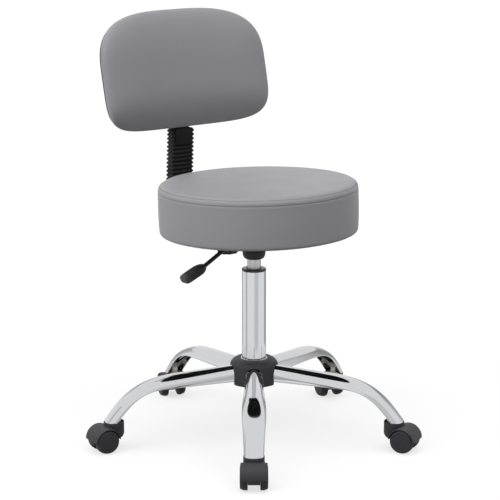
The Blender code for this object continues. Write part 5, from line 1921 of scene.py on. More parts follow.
@dataclass
class SeatPad:
    """Round upholstered seat with a sewn edge, its underside cloth and the staples that hold it."""

    radius: float = 0.2034
    seam_height: float = 0.088
    top_round: float = 0.0155
    crown: float = 0.005
    taper: float = 0.002
    belly: float = 0.0008
    foot_round: float = 0.008
    swell_room: float = 0.0010
    groove: float = 0.0011
    groove_width: float = 0.0009
    stitch_rise: float = 0.0108
    stitch_count: int = 340
    stitch_size: tuple[float, float, float] = (0.0028, 0.0011, 0.0010)
    board_radius: float = 0.1843
    board_top: float = 0.0126
    cover_radius: float = 0.188
    cover_thickness: float = 0.0012
    staple_count: int = 42
    staple_inset: float = 0.009
    staple_size: tuple[float, float, float] = (0.010, 0.0011, 0.0011)
    grip_from: float = 0.004
    grip_fade: float = 0.02
    rolls: tuple[Point, ...] = ((0.0005, 0.0065, 0.0034), (0.0003, -0.006, 0.0032))
    brow_line: Point = (0.0004, 0.002, 0.0026)
    stitch_near: float = 0.0012
    cover_rings: tuple[float, ...] = (0.2, 0.4, 0.6, 0.75, 0.86, 0.93, 0.965, 0.985, 1.0)
    pucker: float = 0.0003
    pucker_at: float = 0.95
    pucker_width: float = 0.03
    fine_pitch: float = 0.0006
    sides: int = 168
    top_steps: int = 34
    arc_steps: int = 18
    fine_steps: int = 10
    side_steps: int = 18
    foot_steps: int = 8
    seam_steps: int = 360
    staple_steps: int = 240

    def profile(self) -> list[tuple[float, float]]:
        """Half section of the unswollen pad, from the middle of its top to the board's recess.

        Returns:
            (radius, height) points.
        """
        room, bend, foot_bend = self.swell_room, self.top_round, self.foot_round
        edge, side, seam = self.radius - bend, self.radius - room, self.seam_height - room
        line = []
        for k in range(self.top_steps):
            share = k / self.top_steps
            line.append((edge * share, seam + bend + self.crown * (1 - share ** 2)))
        line += [(edge - room + bend * out, seam + bend * up) for up, out in quarter(self.arc_steps)]
        line += [(side, seam - self.fine_pitch * k) for k in range(1, self.fine_steps + 1)]
        low = seam - self.fine_pitch * self.fine_steps
        for k in range(1, self.side_steps + 1):
            share = k / self.side_steps
            aside = self.belly * math.sin(math.pi * share) - self.taper * share
            line.append((side + aside, low + (foot_bend - low) * share))
        foot = side - self.taper - foot_bend
        line += [(foot + foot_bend * out, foot_bend * (1 - down)) for out, down in quarter(self.foot_steps)[1:]]
        recess, top = self.board_radius, self.board_top
        return line + [(recess, 0.0), (recess, top), (recess * 0.5, top), (0.0, top)]

    def grip(self, point: Vector) -> float:
        """The pad is held where it is pulled round the board."""
        return 1.0 - ease((point.z - self.grip_from) / self.grip_fade)

    def sew(self, mesh: Mesh) -> None:
        """Draw the seam in, with a soft roll on both sides and a faint second line on the brow.

        Args:
            mesh: The swollen pad, which is changed.
        """
        seam = self.seam_height - self.swell_room
        brow_depth, brow_inset, brow_width = self.brow_line
        brow = self.radius - self.top_round - brow_inset
        for vertex in mesh.vertices:
            across = Vector((vertex.co.x, vertex.co.y, 0.0))
            reach = across.length
            if reach < self.radius - 3 * self.top_round or vertex.co.z < self.seam_height / 2:
                continue
            rise = vertex.co.z - seam
            draw = self.groove * bump_at(rise, self.groove_width)
            for depth, height, width in self.rolls:
                draw -= depth * bump_at(rise - height, width)
            vertex.co -= across / reach * draw
            vertex.co.z -= brow_depth * bump_at(reach - brow, brow_width) * ease(rise / self.top_round)
        mesh.update()

    def seam_line(self, mesh: Mesh) -> list[Vector]:
        """The line that the stitches follow, a little above the seam.

        Args:
            mesh: The sewn pad.

        Returns:
            Points of the closed line.
        """
        height = self.seam_height - self.swell_room + self.stitch_rise
        near = [v.co.xy.length for v in mesh.vertices if abs(v.co.z - height) < self.stitch_near]
        rim = [reach for reach in near if reach > self.radius * 0.95]
        return [Vector(point) for point in ring(sum(rim) / len(rim), height, self.seam_steps)]

    def underside(self) -> Mesh:
        """The cloth under the seat, puckered between its staples.

        Returns:
            The mesh.
        """
        top, low = -FIT_GAP, -FIT_GAP - self.cover_thickness
        rows = [[(0.0, 0.0, low)]]
        for share in self.cover_rings:
            depth = self.pucker * bump_at(share - self.pucker_at, self.pucker_width)
            row = []
            for k, (x, y, _) in enumerate(ring(self.cover_radius * share, low, self.sides)):
                row.append((x, y, low + depth * math.cos(2 * math.pi * k / self.sides * self.staple_count)))
            rows.append(row)
        rows += [[(x, y, top) for x, y, _ in rows[-1]], [(0.0, 0.0, top)]]
        return lofted("underside", rows)

    def staples(self, material: Material) -> Mesh:
        """Staples round the edge of the underside cloth.

        Args:
            material: Their material.

        Returns:
            The staples as one mesh.
        """
        reach, height = self.cover_radius - self.staple_inset, -FIT_GAP - self.cover_thickness
        line = [Vector(point) for point in ring(reach, height, self.staple_steps)]
        return Repeats.beads_on_line("staple_ring", line, self.staple_count, self.staple_size, material)

    def build(self, shop: Workshop, layout: Layout) -> None:
        """Add the pad, its stitches, the underside cloth and its staples.

        Args:
            shop: Takes the pieces.
            layout: The stool's frames.
        """
        mesh = turned("seat_pad", self.profile(), self.sides)
        ClothSwell().settle(mesh, self.grip)
        self.sew(mesh)
        line = self.seam_line(mesh)
        pad = shop.add("seat_pad", placed(mesh, layout.seat_pad), VINYL, "seat", ["seat_cushion"], PAD_SMOOTH_ANGLE)
        thread = shop.material(THREAD)
        stitches = Repeats.beads_on_line("seam_stitches", line, self.stitch_count, self.stitch_size, thread)
        shop.add("seat_stitches", placed(stitches, layout.seat_pad), THREAD, "seat")
        shop.add("underside_cloth", placed(self.underside(), layout.seat_pad), DUST_CLOTH, "seat", ["dust_cover"])
        staples = self.staples(shop.material(ZINC))
        shop.add("underside_staples", placed(staples, layout.seat_pad), ZINC, "seat")
        shop.dress(PLYWOOD, "seat_board")
        shop.dress(BLACK_STEEL, "seat_plate", "bar_clamp")


@dataclass
class Lever:
    """Bent height lever with a rounded paddle."""

    pivot_out: float = 0.042
    pivot_drop: float = 0.012
    tip_out: float = -0.003
    tip_drop: float = 0.0125
    rod_radius: float = 0.0042
    barrel_radius: float = 0.007
    barrel_half: float = 0.0115
    pin_bore: float = 0.0033
    bend_out: float = 0.125
    bend_drop: float = 0.057
    bend_radius: float = 0.010
    slope: float = math.radians(23)
    paddle_width: float = 0.027
    paddle_thickness: float = 0.0175
    paddle_squareness: float = 4.2
    face_grooves: tuple[float, ...] = (-0.0084, -0.0028, 0.0028, 0.0084)
    side_grooves: tuple[float, ...] = (-0.0036, 0.0, 0.0036)
    groove_width: float = 0.0010
    groove_depth: float = 0.0012
    groove_span: tuple[float, float] = (0.008, 0.043)
    groove_fade: float = 0.005
    stations: tuple[Point, ...] = (
        (-0.002, 0.40, 0.52), (0.0, 0.50, 0.66), (0.003, 0.66, 0.80), (0.008, 0.85, 0.93), (0.015, 0.97, 1.0),
        (0.026, 1.0, 1.0), (0.042, 1.0, 0.98), (0.048, 0.985, 0.95), (0.0515, 0.94, 0.88), (0.0534, 0.84, 0.75),
        (0.0540, 0.68, 0.55),
    )
    grip: float = 0.030
    tip_round: float = 0.0012
    barrel_edge: float = 0.0008
    bend_steps: int = 10
    rod_sides: int = 20
    barrel_sides: int = 40
    paddle_fine: int = 720
    paddle_sides: int = 176

    def path(self) -> list[Vector]:
        """Middle line of the rod in the lever's frame.

        Returns:
            (x, z) points.
        """
        tip = Vector((self.pivot_out - self.tip_out, self.pivot_drop - self.tip_drop))
        bend = self.bend()
        end = bend + Vector((-math.cos(self.slope), -math.sin(self.slope))) * self.grip
        return rounded_path([tip, Vector((0.0, 0.0)), bend, end], [self.bend_radius] * 2, self.bend_steps)

    def bend(self) -> Vector:
        """The corner where the rod enters the paddle."""
        return Vector((self.pivot_out - self.bend_out, self.pivot_drop - self.bend_drop))

    def rod_mesh(self) -> Mesh:
        """The rod with a rounded tip, and its pivot barrel.

        Returns:
            The mesh.
        """
        path = self.path()
        circle = ring(self.rod_radius, 0.0, self.rod_sides)
        rows = []
        for point, along in zip(path, travel(path)):
            side = Vector((-along.y, along.x))
            rows.append([(point.x + side.x * out, aside, point.y + side.y * out) for out, aside, _ in circle])
        wire = softened(lofted("lever", rows, capped=True), self.tip_round, 3, 60)
        half, radius, edge = self.barrel_half, self.barrel_radius, self.barrel_edge
        profile = [
            (self.pin_bore, half), (radius - edge, half), (radius, half - edge), (radius, edge - half),
            (radius - edge, -half), (self.pin_bore, -half),
        ]
        barrel = turned("barrel", profile, self.barrel_sides, looped=True)
        return joined("lever_rod", [wire, placed(barrel, Matrix.Rotation(math.pi / 2, 4, "X"))])

    def grooved(self, point: Vector) -> Point:
        """A point of the paddle with the finger grooves of its faces and sides cut in.

        Args:
            point: The point on the plain paddle.

        Returns:
            The moved point.
        """
        start, end = (ease((point.x - place) / self.groove_fade) for place in self.groove_span)
        depth = self.groove_depth * start * (1 - end)
        face = depth * sum(bump_at(point.y - place, self.groove_width) for place in self.face_grooves)
        side = depth * sum(bump_at(point.z - place, self.groove_width) for place in self.side_grooves)
        return (point.x, point.y - math.copysign(side, point.y), point.z - math.copysign(face, point.z))

    def paddle(self) -> Mesh:
        """The paddle along +X: a blunt rounded bar with finger grooves and sloping shoulders round the rod.

        Returns:
            The mesh.
        """
        square = self.paddle_squareness
        rows = []
        for reach, wide, thick in smooth_line([Vector(station) for station in self.stations], 3):
            sizes = (self.paddle_width * wide, self.paddle_thickness * thick)
            oval = superellipse(*sizes, square, square, self.paddle_fine)
            row = spaced([Vector((reach, *point)) for point in oval], self.paddle_sides, loop=True)
            rows.append([self.grooved(point) for point in row])
        return lofted("paddle", rows, capped=True)

    def build(self, shop: Workshop, layout: Layout) -> None:
        """Add the rod and the paddle.

        Args:
            shop: Takes the pieces.
            layout: The stool's frames.
        """
        shop.add("black_lever_rod", placed(self.rod_mesh(), layout.lever), BLACK_STEEL, "lever", ["lever_rod"])
        bend = self.bend()
        turn = Matrix.Rotation(math.pi, 4, "Z") @ Matrix.Rotation(self.slope, 4, "Y")
        place = layout.lever @ Matrix.Translation((bend.x, 0.0, bend.y)) @ turn
        shop.add("black_lever_paddle", placed(self.paddle(), place), PADDLE_PLASTIC, "lever", ["lever_paddle"])


# Back

@dataclass
class Knob:
    """A clamp knob turned about Z, pointing up, with a lobed head."""

    tip: float
    seat: float
    neck: float
    neck_radius: float
    radius: float
    height: float
    lobes: int = 8
    lobe_depth: float = 0.0018
    lobe_power: float = 1.5
    dish: float = 0.0008
    screw_radius: float = 0.004
    sides: int = 120
    edge_steps: int = 6

    def mesh(self) -> Mesh:
        """The screw, the neck and the lobed head.

        Returns:
            The mesh.
        """
        head = self.seat - self.neck
        bottom = head - self.height
        edge = self.height / 5
        rim, dish = self.radius - edge, bottom + self.dish
        outline = [
            (0.0, self.tip, 0.0), (self.screw_radius, self.tip, 0.0), (self.screw_radius, self.seat, 0.0),
            (self.neck_radius, self.seat, 0.0), (self.neck_radius, head, 0.0),
        ]
        bend = quarter(self.edge_steps)
        outline += [(rim + edge * out, head - edge + edge * up, 1.0) for up, out in bend]
        outline += [(rim + edge * out, bottom + edge - edge * down, 1.0) for out, down in bend]
        outline += [(self.radius * 0.62, bottom, 0.0), (self.radius * 0.55, dish, 0.0), (0.0, dish, 0.0)]
        rows = []
        for radius, height, lobed in outline:
            if radius == 0.0:
                rows.append([(0.0, 0.0, height)])
                continue
            row = []
            for x, y, _ in ring(1.0, 0.0, self.sides):
                wave = 0.5 + 0.5 * math.cos(math.atan2(y, x) * self.lobes)
                reach = radius - self.lobe_depth * lobed * wave ** self.lobe_power
                row.append((reach * x, reach * y, height))
            rows.append(row)
        return lofted("knob", rows)


@dataclass
class BackBar:
    """Flat bent bar behind the seat, the folded sleeve over it and the knob that clamps it."""

    width: float = 0.040
    thickness: float = 0.006
    drop: float = 0.020
    start: float = 0.062
    reach: float = 0.2765
    bend_radius: float = 0.030
    lean: float = math.radians(5.4)
    upright: float = 0.200
    top_bend_radius: float = 0.060
    recline: float = math.radians(11.4)
    top: float = 0.130
    corner: float = 0.0014
    sleeve_width: float = 0.054
    sleeve_depth: float = 0.027
    rib_depth: float = 0.0032
    rib_count: int = 19
    core_wall: float = 0.0016
    tongue_width: float = 0.043
    tongue_length: float = 0.033
    tongue_thickness: float = 0.0016
    clamp_floor: float = 0.0035
    fold_half: float = 0.0046
    fold_line: Profile = (
        (-1.0, 0.0), (-0.58, 0.42), (-0.16, 0.95), (0.0, 1.0), (0.16, 0.95), (0.58, 0.42), (1.0, 0.0),
    )
    fold_corner: tuple[float, float] = (0.0012, 0.0026)
    core_lap: float = 0.0002
    core_corner: float = 0.0014
    inner_corner: float = 0.0016
    tongue_corner: float = 0.0007
    edge_round: float = 0.0006
    foot_gap: float = 0.0016
    head_gap: float = 0.0012
    fold_angle: float = math.radians(50)
    bend_steps: int = 16
    bar_steps: int = 90
    line_steps: int = 800
    walk_steps: int = 120
    core_steps: int = 40
    corner_steps: int = 6
    edge_steps: int = 4

    def path(self) -> list[Vector]:
        """Middle line of the bar in the seat's frame.

        Returns:
            (rearward, up) points.
        """
        corner = Vector((self.reach, -self.drop))
        top_bend = corner + Vector((-math.tan(self.lean), 1.0)) * self.upright
        end = top_bend + Vector((math.sin(self.recline), math.cos(self.recline))) * self.top
        corners = [Vector((self.start, -self.drop)), corner, top_bend, end]
        return rounded_path(corners, [self.bend_radius, self.top_bend_radius], self.bend_steps)

    def bar(self) -> Mesh:
        """The bar with rounded edges.

        Returns:
            The mesh.
        """
        section = rounded_box_loop(self.width, self.thickness, self.corner, self.edge_steps)
        rows = self.swept(spaced(self.path(), self.bar_steps), section)
        return softened(lofted("bar", rows, capped=True), self.edge_round, 2, 60)

    @staticmethod
    def swept(path: Sequence[Vector], section: Profile) -> list[list[Point]]:
        """A section set square to a path at each of its points.

        Args:
            path: (rearward, up) points.
            section: (aside, depth) points.

        Returns:
            A row of points for each point of the path.
        """
        rows = []
        for point, along in zip(path, travel(path)):
            places = [(x, point + Vector((along.y, -along.x)) * depth) for x, depth in section]
            rows.append([(x, place.x, place.y) for x, place in places])
        return rows

    def sleeve_line(self, low: float, high: float) -> list[Vector]:
        """The bar's path between two heights in the seat's frame."""
        fine = spaced(self.path(), self.line_steps)
        return [point for point in fine if low <= point.y <= high and point.x > self.reach * 0.7]

    def loop(self, fold: float, corner: float) -> list[tuple[float, float]]:
        """Section of the sleeve, drawn in by a fold."""
        width, depth = self.sleeve_width - 2 * fold, self.sleeve_depth - 2 * fold
        return rounded_box_loop(width, depth, corner, self.corner_steps)

    def rib(self) -> Mesh:
        """One fold of the sleeve about Z: a ring with a rounded crest.

        Returns:
            The mesh.
        """
        valley, crest = self.fold_corner
        rows = []
        for rise, share in self.fold_line:
            loop = self.loop(self.rib_depth * (1 - share), valley + (crest - valley) * share)
            rows.append([(x, y, self.fold_half * rise) for x, y in loop])
        inner = self.loop(self.rib_depth + self.core_wall, self.inner_corner)
        rows += [[(x, y, height) for x, y in inner] for height in (self.fold_half, -self.fold_half)]
        return lofted("rib", rows, looped=True)

    def sleeve(self, material: Material, low: float, high: float) -> Mesh:
        """The folded sleeve: ribs on the bar's line, the core inside them and the smooth tongue at its top.

        Args:
            material: Its material.
            low: Height of its foot in the seat's frame.
            high: Height of its head.

        Returns:
            The mesh.
        """
        line = self.sleeve_line(low, high)
        middle = spaced(line, 2 * self.rib_count + 1)[1:-1]
        path = [Vector((0.0, p.x, p.y)) for p in spaced(middle, self.walk_steps)]
        ribs = Repeats.shapes_on_path("sleeve_ribs", path, self.rib_count, self.rib(), material)
        walk = spaced(line, self.core_steps)
        outer = self.swept(walk, self.loop(self.rib_depth - self.core_lap, self.core_corner))
        inner = self.swept(walk, self.loop(self.rib_depth + self.core_wall, self.inner_corner))
        core = lofted("core", outer + inner[::-1], looped=True)
        return joined("sleeve", [ribs, core, self.tongue(line)])

    def tongue(self, line: Sequence[Vector]) -> Mesh:
        """The smooth panel over the upper folds, on the side of the sitter.

        Args:
            line: The sleeve's line.

        Returns:
            The mesh.
        """
        walk = spaced(line, self.walk_steps)
        span = sum((b - a).length for a, b in zip(walk, walk[1:]))
        kept = walk[int(len(walk) * (1 - self.tongue_length / span)):]
        front = self.sleeve_depth / 2 + self.core_lap
        sizes = (self.tongue_width, self.tongue_thickness, self.tongue_corner)
        section = [(x, y - front) for x, y in rounded_box_loop(*sizes, self.edge_steps)]
        rows = self.swept(kept, section)
        return softened(lofted("tongue", rows, capped=True), self.edge_round, 2, 60)

    def build(self, shop: Workshop, layout: Layout) -> None:
        """Add the bar, its sleeve and the depth knob.

        Args:
            shop: Takes the pieces.
            layout: The stool's frames.
        """
        bar = placed(self.bar(), layout.seat)
        shop.add("black_back_bar", bar, BLACK_STEEL, "back_slide", ["back_bar"])
        low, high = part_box("bellows")
        to_seat = layout.seat.inverted()
        foot = to_seat @ Vector((layout.column.x, low.y, low.z))
        head = to_seat @ Vector((layout.column.x, high.y, high.z))
        mesh = self.sleeve(shop.material(RUBBER), foot.z + self.foot_gap, head.z - self.head_gap)
        piece = shop.add("folded_sleeve", placed(mesh, layout.seat), RUBBER, "", ["bellows"], self.fold_angle)
        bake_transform(piece)
        tip = -self.drop - self.thickness / 2 - RUN_GAP
        seat = tip - self.clamp_floor - RUN_GAP
        knob = Knob(tip, seat, neck=0.016, neck_radius=0.012, radius=0.022, height=0.018)
        place = layout.seat @ Matrix.Translation((0.0, layout.depth_knob_reach, 0.0))
        shop.add("depth_clamp_knob", placed(knob.mesh(), place), BLACK_PLASTIC, "depth_clamp", ["depth_knob"])


@dataclass
class Back:
    """Upholstered back on its board, with a moulded rear cover and the height knob."""

    width: float = 0.404
    height: float = 0.2505
    top_squareness: float = 2.95
    squareness: float = 6.0
    wrap: float = 0.026
    slope_from: float = 0.32
    slope_back: float = 0.029
    pad: float = 0.0425
    rear: float = -0.0156
    swell_room: float = 0.0010
    shell_wall: float = 0.0025
    shell_inset: float = 0.0055
    shell_edge: float = 0.012
    shell_rim: float = 0.08
    housing_width: float = 0.068
    housing_fade: float = 0.042
    housing_low: float = 0.35
    housing_high: float = 0.85
    bracket_depth: float = 0.014
    knob_radius: float = 0.019
    knob_height: float = 0.018
    knob_hole: float = 0.0055
    knob_tip: float = -0.0035
    grip_from: float = 0.002
    grip_fade: float = 0.010
    rings: Profile = (
        (0.118, 0.0), (0.100, 0.0), (0.055, 0.0), (0.009, 0.0), (0.0035, 0.035), (0.0008, 0.12), (0.0, 0.25),
        (0.0004, 0.36), (0.0022, 0.46), (0.0062, 0.56), (0.0130, 0.66), (0.0240, 0.765), (0.040, 0.86),
        (0.060, 0.935), (0.084, 0.985), (0.102, 1.0), (0.118, 1.0),
    )
    screw_places: Profile = ((0.74, 0.62), (-0.74, 0.62), (0.74, -0.66), (-0.74, -0.66))
    screw_profile: Profile = (
        (0.0, 0.0019), (0.0016, 0.0018), (0.0030, 0.0013), (0.0036, 0.0005), (0.0036, -0.0006), (0.0, -0.0006),
    )
    cross_low: Point = (-0.0019, -0.00035, 0.0009)
    cross_high: Point = (0.0019, 0.00035, 0.003)
    cross_round: float = 0.0001
    shell_round: float = 0.0007
    hole_reach: float = 0.05
    points: int = 168
    screw_sides: int = 20
    fine_points: int = 4000
    shell_steps: tuple[int, int] = (72, 48)

    def power(self, up: float) -> float:
        """Exponent of the outline, rounder above the middle than below it."""
        return self.top_squareness if up > 0 else self.squareness

    def outline(self, inset: float) -> list[Vector]:
        """The outline drawn in by an inset, at even steps.

        Args:
            inset: How far it is drawn in.

        Returns:
            (across, up) points.
        """
        sizes = (self.width - 2 * inset, self.height - 2 * inset)
        dense = superellipse(*sizes, self.top_squareness, self.squareness, self.fine_points)
        return spaced(dense, self.points, loop=True)

    def wrapped(self, across: float, depth: float, up: float) -> Point:
        """A point of the back, with its ends brought forward round the sitter."""
        return (across, depth - self.wrap * (2 * across / self.width) ** 2, up)

    def pad_mesh(self) -> Mesh:
        """The unswollen cushion: flat rear, drawn-in edge and crowned front.

        Returns:
            The mesh.
        """
        room = self.swell_room
        rows = []
        for inset, share in smooth_line([Vector(station) for station in self.rings], 3):
            share = min(max(share, 0.0), 1.0)
            row = []
            for point in self.outline(inset + room):
                low = max(-2 * point.y / self.height - self.slope_from, 0.0) / (1 - self.slope_from)
                front = self.rear - (self.pad - room - self.slope_back * low ** 3) * share
                row.append(self.wrapped(point.x, front, point.y))
            rows.append(row)
        return lofted("back_pad", rows, zipped=True)

    def grip(self, point: Vector) -> float:
        """The cushion is held where it is pulled round the board."""
        flat = point.y + self.wrap * (2 * point.x / self.width) ** 2
        return 1.0 - ease((self.rear - self.grip_from - flat) / self.grip_fade)

    def shell_depth(self, across: float, up: float, reach: float) -> float:
        """Depth of the shell's inside: a rounded edge, and a housing for the bar that opens at the bottom.

        Args:
            across: Place across the back.
            up: Place on the square, from -1 to 1.
            reach: Distance from the middle, 1 at the edge.

        Returns:
            The depth.
        """
        housing = 1 - ease((abs(across) - self.housing_width / 2) / self.housing_fade)
        low_part = 1 - ease((up - self.housing_low) / (self.housing_high - self.housing_low))
        edge = ease((1 - reach) / self.shell_rim)
        if up < 0:
            edge = max(edge, housing)
        rim = self.rear + FIT_GAP
        room = self.bracket_depth / 2 + self.shell_wall - rim - self.shell_edge
        return rim + self.shell_edge * edge + room * housing * low_part

    def shell_point(self, across: float, up: float) -> Point:
        """A point of the shell's inside from its place on a square of -1 to 1.

        Args:
            across: From -1 to 1.
            up: From -1 to 1.

        Returns:
            The point.
        """
        reach = max(abs(across), abs(up))
        power = self.power(up)
        pull = 1.0
        if reach > 0.0:
            pull = (abs(across / reach) ** power + abs(up / reach) ** power) ** (-1 / power)
        x = across * pull * (self.width / 2 - self.shell_inset)
        z = up * pull * (self.height / 2 - self.shell_inset)
        return self.wrapped(x, self.shell_depth(x, up, reach), z)

    @staticmethod
    def spread(count: int) -> list[float]:
        """Steps from -1 to 1 that are finer near both ends."""
        return [math.sin(math.pi / 2 * (2 * k / count - 1)) for k in range(count + 1)]

    def shell(self, knob_drop: float) -> Mesh:
        """The rear cover as a moulded sheet with the knob's hole.

        Args:
            knob_drop: How far the knob is below the back's middle.

        Returns:
            The mesh.
        """
        columns, rows = (self.spread(count) for count in self.shell_steps)
        grid = [[self.shell_point(across, up) for across in reversed(columns)] for up in rows]
        sheet = thickened(lofted("shell", grid, closed=False, outward=False), self.shell_wall, 1.0)
        hole = rod("hole", self.knob_hole, (0.0, 0.0, -knob_drop), (0.0, self.hole_reach, -knob_drop))
        return softened(carved(sheet, [hole]), self.shell_round, 2, 60)

    def screw_head(self) -> Mesh:
        """A pan head with a cross recess.

        Returns:
            The mesh.
        """
        arms = [block("arm", self.cross_low, self.cross_high, self.cross_round)]
        arms.append(placed(arms[0].copy(), Matrix.Rotation(math.pi / 2, 4, "Z")))
        return carved(turned("screw", self.screw_profile, self.screw_sides), arms)

    def screws(self, material: Material) -> Mesh:
        """Screw heads that hold the rear cover.

        Args:
            material: Their material.

        Returns:
            The heads as one mesh.
        """
        step = 0.02
        points, ways = [], []
        for across, up in self.screw_places:
            place = Vector(self.shell_point(across, up))
            right = Vector(self.shell_point(across + step, up)) - place
            above = Vector(self.shell_point(across, up + step)) - place
            way = above.cross(right).normalized()
            if way.y < 0:
                way.negate()
            points.append(place + way * (self.shell_wall + FIT_GAP))
            ways.append(way)
        return Repeats.shapes_on_points("shell_screws", points, ways, self.screw_head(), material)

    def build(self, shop: Workshop, layout: Layout) -> None:
        """Add the cushion, the rear cover, its screws and the knob.

        Args:
            shop: Takes the pieces.
            layout: The stool's frames.
        """
        mesh = self.pad_mesh()
        ClothSwell().settle(mesh, self.grip)
        pad = shop.add("back_pad", placed(mesh, layout.back), VINYL, "back", ["back_cushion"], PAD_SMOOTH_ANGLE)
        shell = self.shell(layout.height_knob_drop)
        shop.add("moulded_back_shell", placed(shell, layout.back), BLACK_PLASTIC, "back", ["back_shell"])
        screws = self.screws(shop.material(ZINC))
        shop.add("back_shell_screws", placed(screws, layout.back), ZINC, "back")
        wall, radius = self.shell_wall, self.knob_radius
        seat = -self.bracket_depth / 2 - 2 * wall - RUN_GAP
        knob = Knob(self.knob_tip, seat, wall, radius / 2, radius, self.knob_height, lobes=7)
        turn = Matrix.Translation((0.0, 0.0, -layout.height_knob_drop)) @ Matrix.Rotation(math.pi / 2, 4, "X")
        mesh = placed(knob.mesh(), layout.back @ turn)
        shop.add("height_clamp_knob", mesh, BLACK_PLASTIC, "height_clamp", ["height_knob"])
        shop.dress(PLYWOOD, "back_board")
        shop.dress(BLACK_STEEL, "back_bracket")


# Studio

@dataclass(frozen=True)
class Card:
    """A grey card with soft edges that only reflections show, as a photographer sets beside bright metal."""

    name: str
    azimuth: float
    distance: float
    width: float
    low: float
    high: float
    level: float
    columns: int = 24

    def shade(self, column: int) -> float:
        """How bright a column of the card is: white at its edges."""
        return 1.0 - (1.0 - self.level) * math.sin(math.pi * column / self.columns) ** 0.8


@dataclass(frozen=True)
class Lamp:
    """A broad soft lamp: the level that it gives a white surface, then degrees from the camera's side."""

    name: str
    level: float
    azimuth: float
    elevation: float
    spread: float


@dataclass
class Studio:
    """Pale floor, plain soft light, reflection cards and the camera."""

    distance: float = 3.6147
    camera_z: float = 1.256
    azimuth: float = math.radians(-36)
    pitch: float = 0.2341
    focal_pixels: float = 1831.49
    image_pixels: float = 500.0
    sensor: float = 36.0
    shift: tuple[float, float] = (-0.008, -0.001)
    ambient: float = 0.17
    lamps: tuple[Lamp, ...] = (
        Lamp("top_light", 0.80, 14.0, 72.0, 80.0),
        Lamp("left_light", 0.52, -66.0, 22.0, 60.0),
        Lamp("right_light", 0.03, 75.0, 25.0, 60.0),
    )
    floor_half: float = 40.0
    floor_glow: float = 0.70
    floor_seen: float = 0.30
    floor_bounce: float = 0.22
    # painted shade: how far the floor's glow drops near the stool, as seen in reflections only
    floor_painted_shade: float = 0.35
    painted_shade_reach: tuple[float, float] = (0.35, 0.75)
    cards: tuple[Card, ...] = (
        Card("card_right", 130.0, 0.60, 0.60, 0.02, 0.32, 0.36),
        Card("card_left", -140.0, 0.60, 0.40, 0.02, 0.32, 0.50),
        Card("card_streak", 22.0, 0.58, 0.50, 0.02, 0.32, 0.74),
        Card("card_left_streak", -74.0, 0.58, 0.24, 0.02, 0.32, 0.62),
    )

    def camera(self, layout: Layout) -> None:
        """Set the camera at the photograph's angle.

        Args:
            layout: The stool's frames.
        """
        data = bpy.data.cameras.new("view")
        data.sensor_width = self.sensor
        data.lens = self.focal_pixels / self.image_pixels * self.sensor
        data.shift_x, data.shift_y = self.shift
        camera = linked("view", data)
        across = Vector((math.sin(self.azimuth), -math.cos(self.azimuth), 0.0)) * self.distance
        camera.location = layout.column + across + Vector((0.0, 0.0, self.camera_z))
        camera.rotation_euler = (math.pi / 2 - self.pitch, 0.0, self.azimuth)
        bpy.context.scene.camera = camera

    def light(self, lamp: Lamp) -> None:
        """Set up a lamp, which bright metal doesn't show.

        Args:
            lamp: The lamp.
        """
        data = bpy.data.lights.new(lamp.name, "SUN")
        data.energy = lamp.level * math.pi
        data.angle = math.radians(lamp.spread)
        piece = linked(lamp.name, data)
        piece.visible_glossy = False
        turn = self.azimuth + math.radians(lamp.azimuth)
        piece.rotation_euler = (math.pi / 2 - math.radians(lamp.elevation), 0.0, turn)

    @staticmethod
    def seen_directly(graph: Graph) -> Socket:
        """One where the camera, metal or glass shows a surface, and nought where it lights others.

        Args:
            graph: Graph of the surface.

        Returns:
            The socket.
        """
        path = graph.node("ShaderNodeLightPath")
        seen = graph.math("MAXIMUM", path.outputs["Is Camera Ray"], path.outputs["Is Glossy Ray"])
        return graph.math("MAXIMUM", seen, path.outputs["Is Transmission Ray"])

    def world(self) -> None:
        """An even surround that lights softly and looks white."""
        world = bpy.data.worlds.new("studio")
        bpy.context.scene.world = world
        world.use_nodes = True
        graph = Graph(world.node_tree)
        level = graph.math("MULTIPLY", self.seen_directly(graph), 1.0 - self.ambient)
        backdrop = world.node_tree.nodes["Background"]
        backdrop.inputs["Color"].default_value = (1.0, 1.0, 1.0, 1.0)
        graph.feed(backdrop.inputs["Strength"], graph.math("ADD", level, self.ambient))

    def floor(self) -> None:
        """The pale floor, which keeps the stool's shadow. In reflections its glow is lowered near the stool: a painted
        shade that bright metal shows.
        """
        half = self.floor_half
        rows = [[(-half, y, 0.0), (half, y, 0.0)] for y in (-half, half)]
        material = bpy.data.materials.new("pale_floor")
        material.use_nodes = True
        graph = Graph(material.node_tree)
        shader = material.node_tree.nodes["Principled BSDF"]
        seen = self.seen_directly(graph)
        tones = [(level, level, level, 1.0) for level in (self.floor_bounce, self.floor_seen)]
        graph.feed(shader.inputs["Base Color"], graph.mixed(seen, *tones))
        # painted shade: the glow that glossy rays see is lowered within a ring round the stool, so metal reflects a
        # darker floor there
        places = graph.node("ShaderNodeTexCoord").outputs["Object"]
        reach = graph.node("ShaderNodeVectorMath", {0: places}, operation="LENGTH").outputs["Value"]
        near = graph.math("SUBTRACT", 1.0, graph.ramp(reach, *self.painted_shade_reach))
        glossy = graph.node("ShaderNodeLightPath").outputs["Is Glossy Ray"]
        dim = graph.math("MULTIPLY", graph.math("MULTIPLY", near, glossy), self.floor_painted_shade)
        glow = graph.math("MULTIPLY", seen, graph.math("SUBTRACT", self.floor_glow, dim))
        graph.feed(shader.inputs["Emission Strength"], glow)
        shader.inputs["Emission Color"].default_value = (1.0, 1.0, 1.0, 1.0)
        shader.inputs["Roughness"].default_value = 0.9
        shader.inputs["Specular IOR Level"].default_value = 0.0
        self.sheet("floor", rows, material)

    @staticmethod
    def sheet(name: str, rows: Sequence[Row], material: Material) -> Piece:
        """A flat sheet that belongs to the studio.

        Args:
            name: Its name.
            rows: Rows of its points.
            material: Its material.

        Returns:
            The sheet.
        """
        mesh = lofted(name, rows, closed=False, outward=False)
        mesh.materials.append(material)
        sheet = linked(name, mesh)
        return sheet

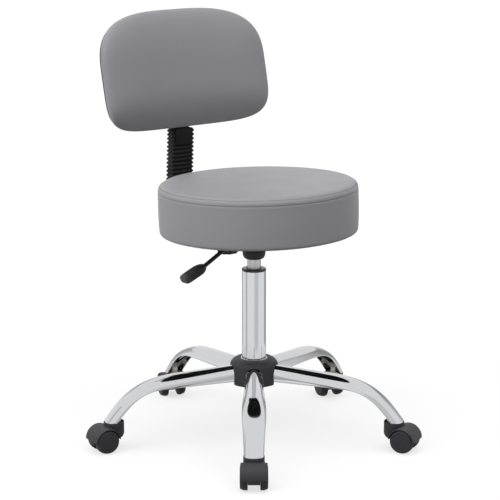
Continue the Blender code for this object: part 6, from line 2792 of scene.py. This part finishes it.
    @staticmethod
    def card_material() -> Material:
        """A surface that is as bright as the sheet's own shade says.

        Returns:
            The material.
        """
        material = bpy.data.materials.new("card")
        material.use_nodes = True
        graph = Graph(material.node_tree)
        shader = material.node_tree.nodes["Principled BSDF"]
        shader.inputs["Base Color"].default_value = (0.0, 0.0, 0.0, 1.0)
        shader.inputs["Specular IOR Level"].default_value = 0.0
        shader.inputs["Emission Color"].default_value = (1.0, 1.0, 1.0, 1.0)
        shade = graph.node("ShaderNodeAttribute", attribute_name="shade")
        graph.feed(shader.inputs["Emission Strength"], shade.outputs["Fac"])
        return material

    def reflect(self, card: Card, material: Material, layout: Layout) -> None:
        """Stand a card round the stool, seen only in bright metal.

        Args:
            card: The card.
            material: Its material.
            layout: The stool's frames.
        """
        turn = self.azimuth + math.radians(card.azimuth)
        foot = layout.column + Vector((math.sin(turn), -math.cos(turn), 0.0)) * card.distance
        aside = Vector((math.cos(turn), math.sin(turn), 0.0)) * card.width
        line = [foot + aside * (k / card.columns - 0.5) for k in range(card.columns + 1)]
        rows = [[point + Vector((0.0, 0.0, height)) for point in line] for height in (card.low, card.high)]
        sheet = self.sheet(card.name, rows, material)
        shades = [card.shade(k) for k in range(card.columns + 1)]
        sheet.data.attributes.new("shade", "FLOAT", "POINT").data.foreach_set("value", shades * 2)
        sheet.visible_camera = False
        sheet.visible_diffuse = False
        sheet.visible_shadow = False
        sheet.visible_transmission = False

    def build(self, layout: Layout) -> None:
        """Set up the studio.

        Args:
            layout: The stool's frames.
        """
        bpy.context.scene.view_settings.view_transform = "Standard"
        self.camera(layout)
        self.world()
        self.floor()
        for lamp in self.lamps:
            self.light(lamp)
        material = self.card_material()
        for card in self.cards:
            self.reflect(card, material, layout)


def main() -> None:
    """Build the dressed stool on its frame."""
    logging.basicConfig(level=logging.INFO, format="%(name)s: %(message)s")
    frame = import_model()
    layout = Layout.read(frame["joints"])
    shop = Workshop(frame["nodes"])
    Studio().build(layout)
    legs = Legs()
    legs.build(shop, layout)
    Hub().build(shop, layout, legs)
    Column().build(shop, layout)
    Casters().build(shop, layout)
    Lever().build(shop, layout)
    BackBar().build(shop, layout)
    SeatPad().build(shop, layout)
    Back().build(shop, layout)


if __name__ == "__main__":
    main()
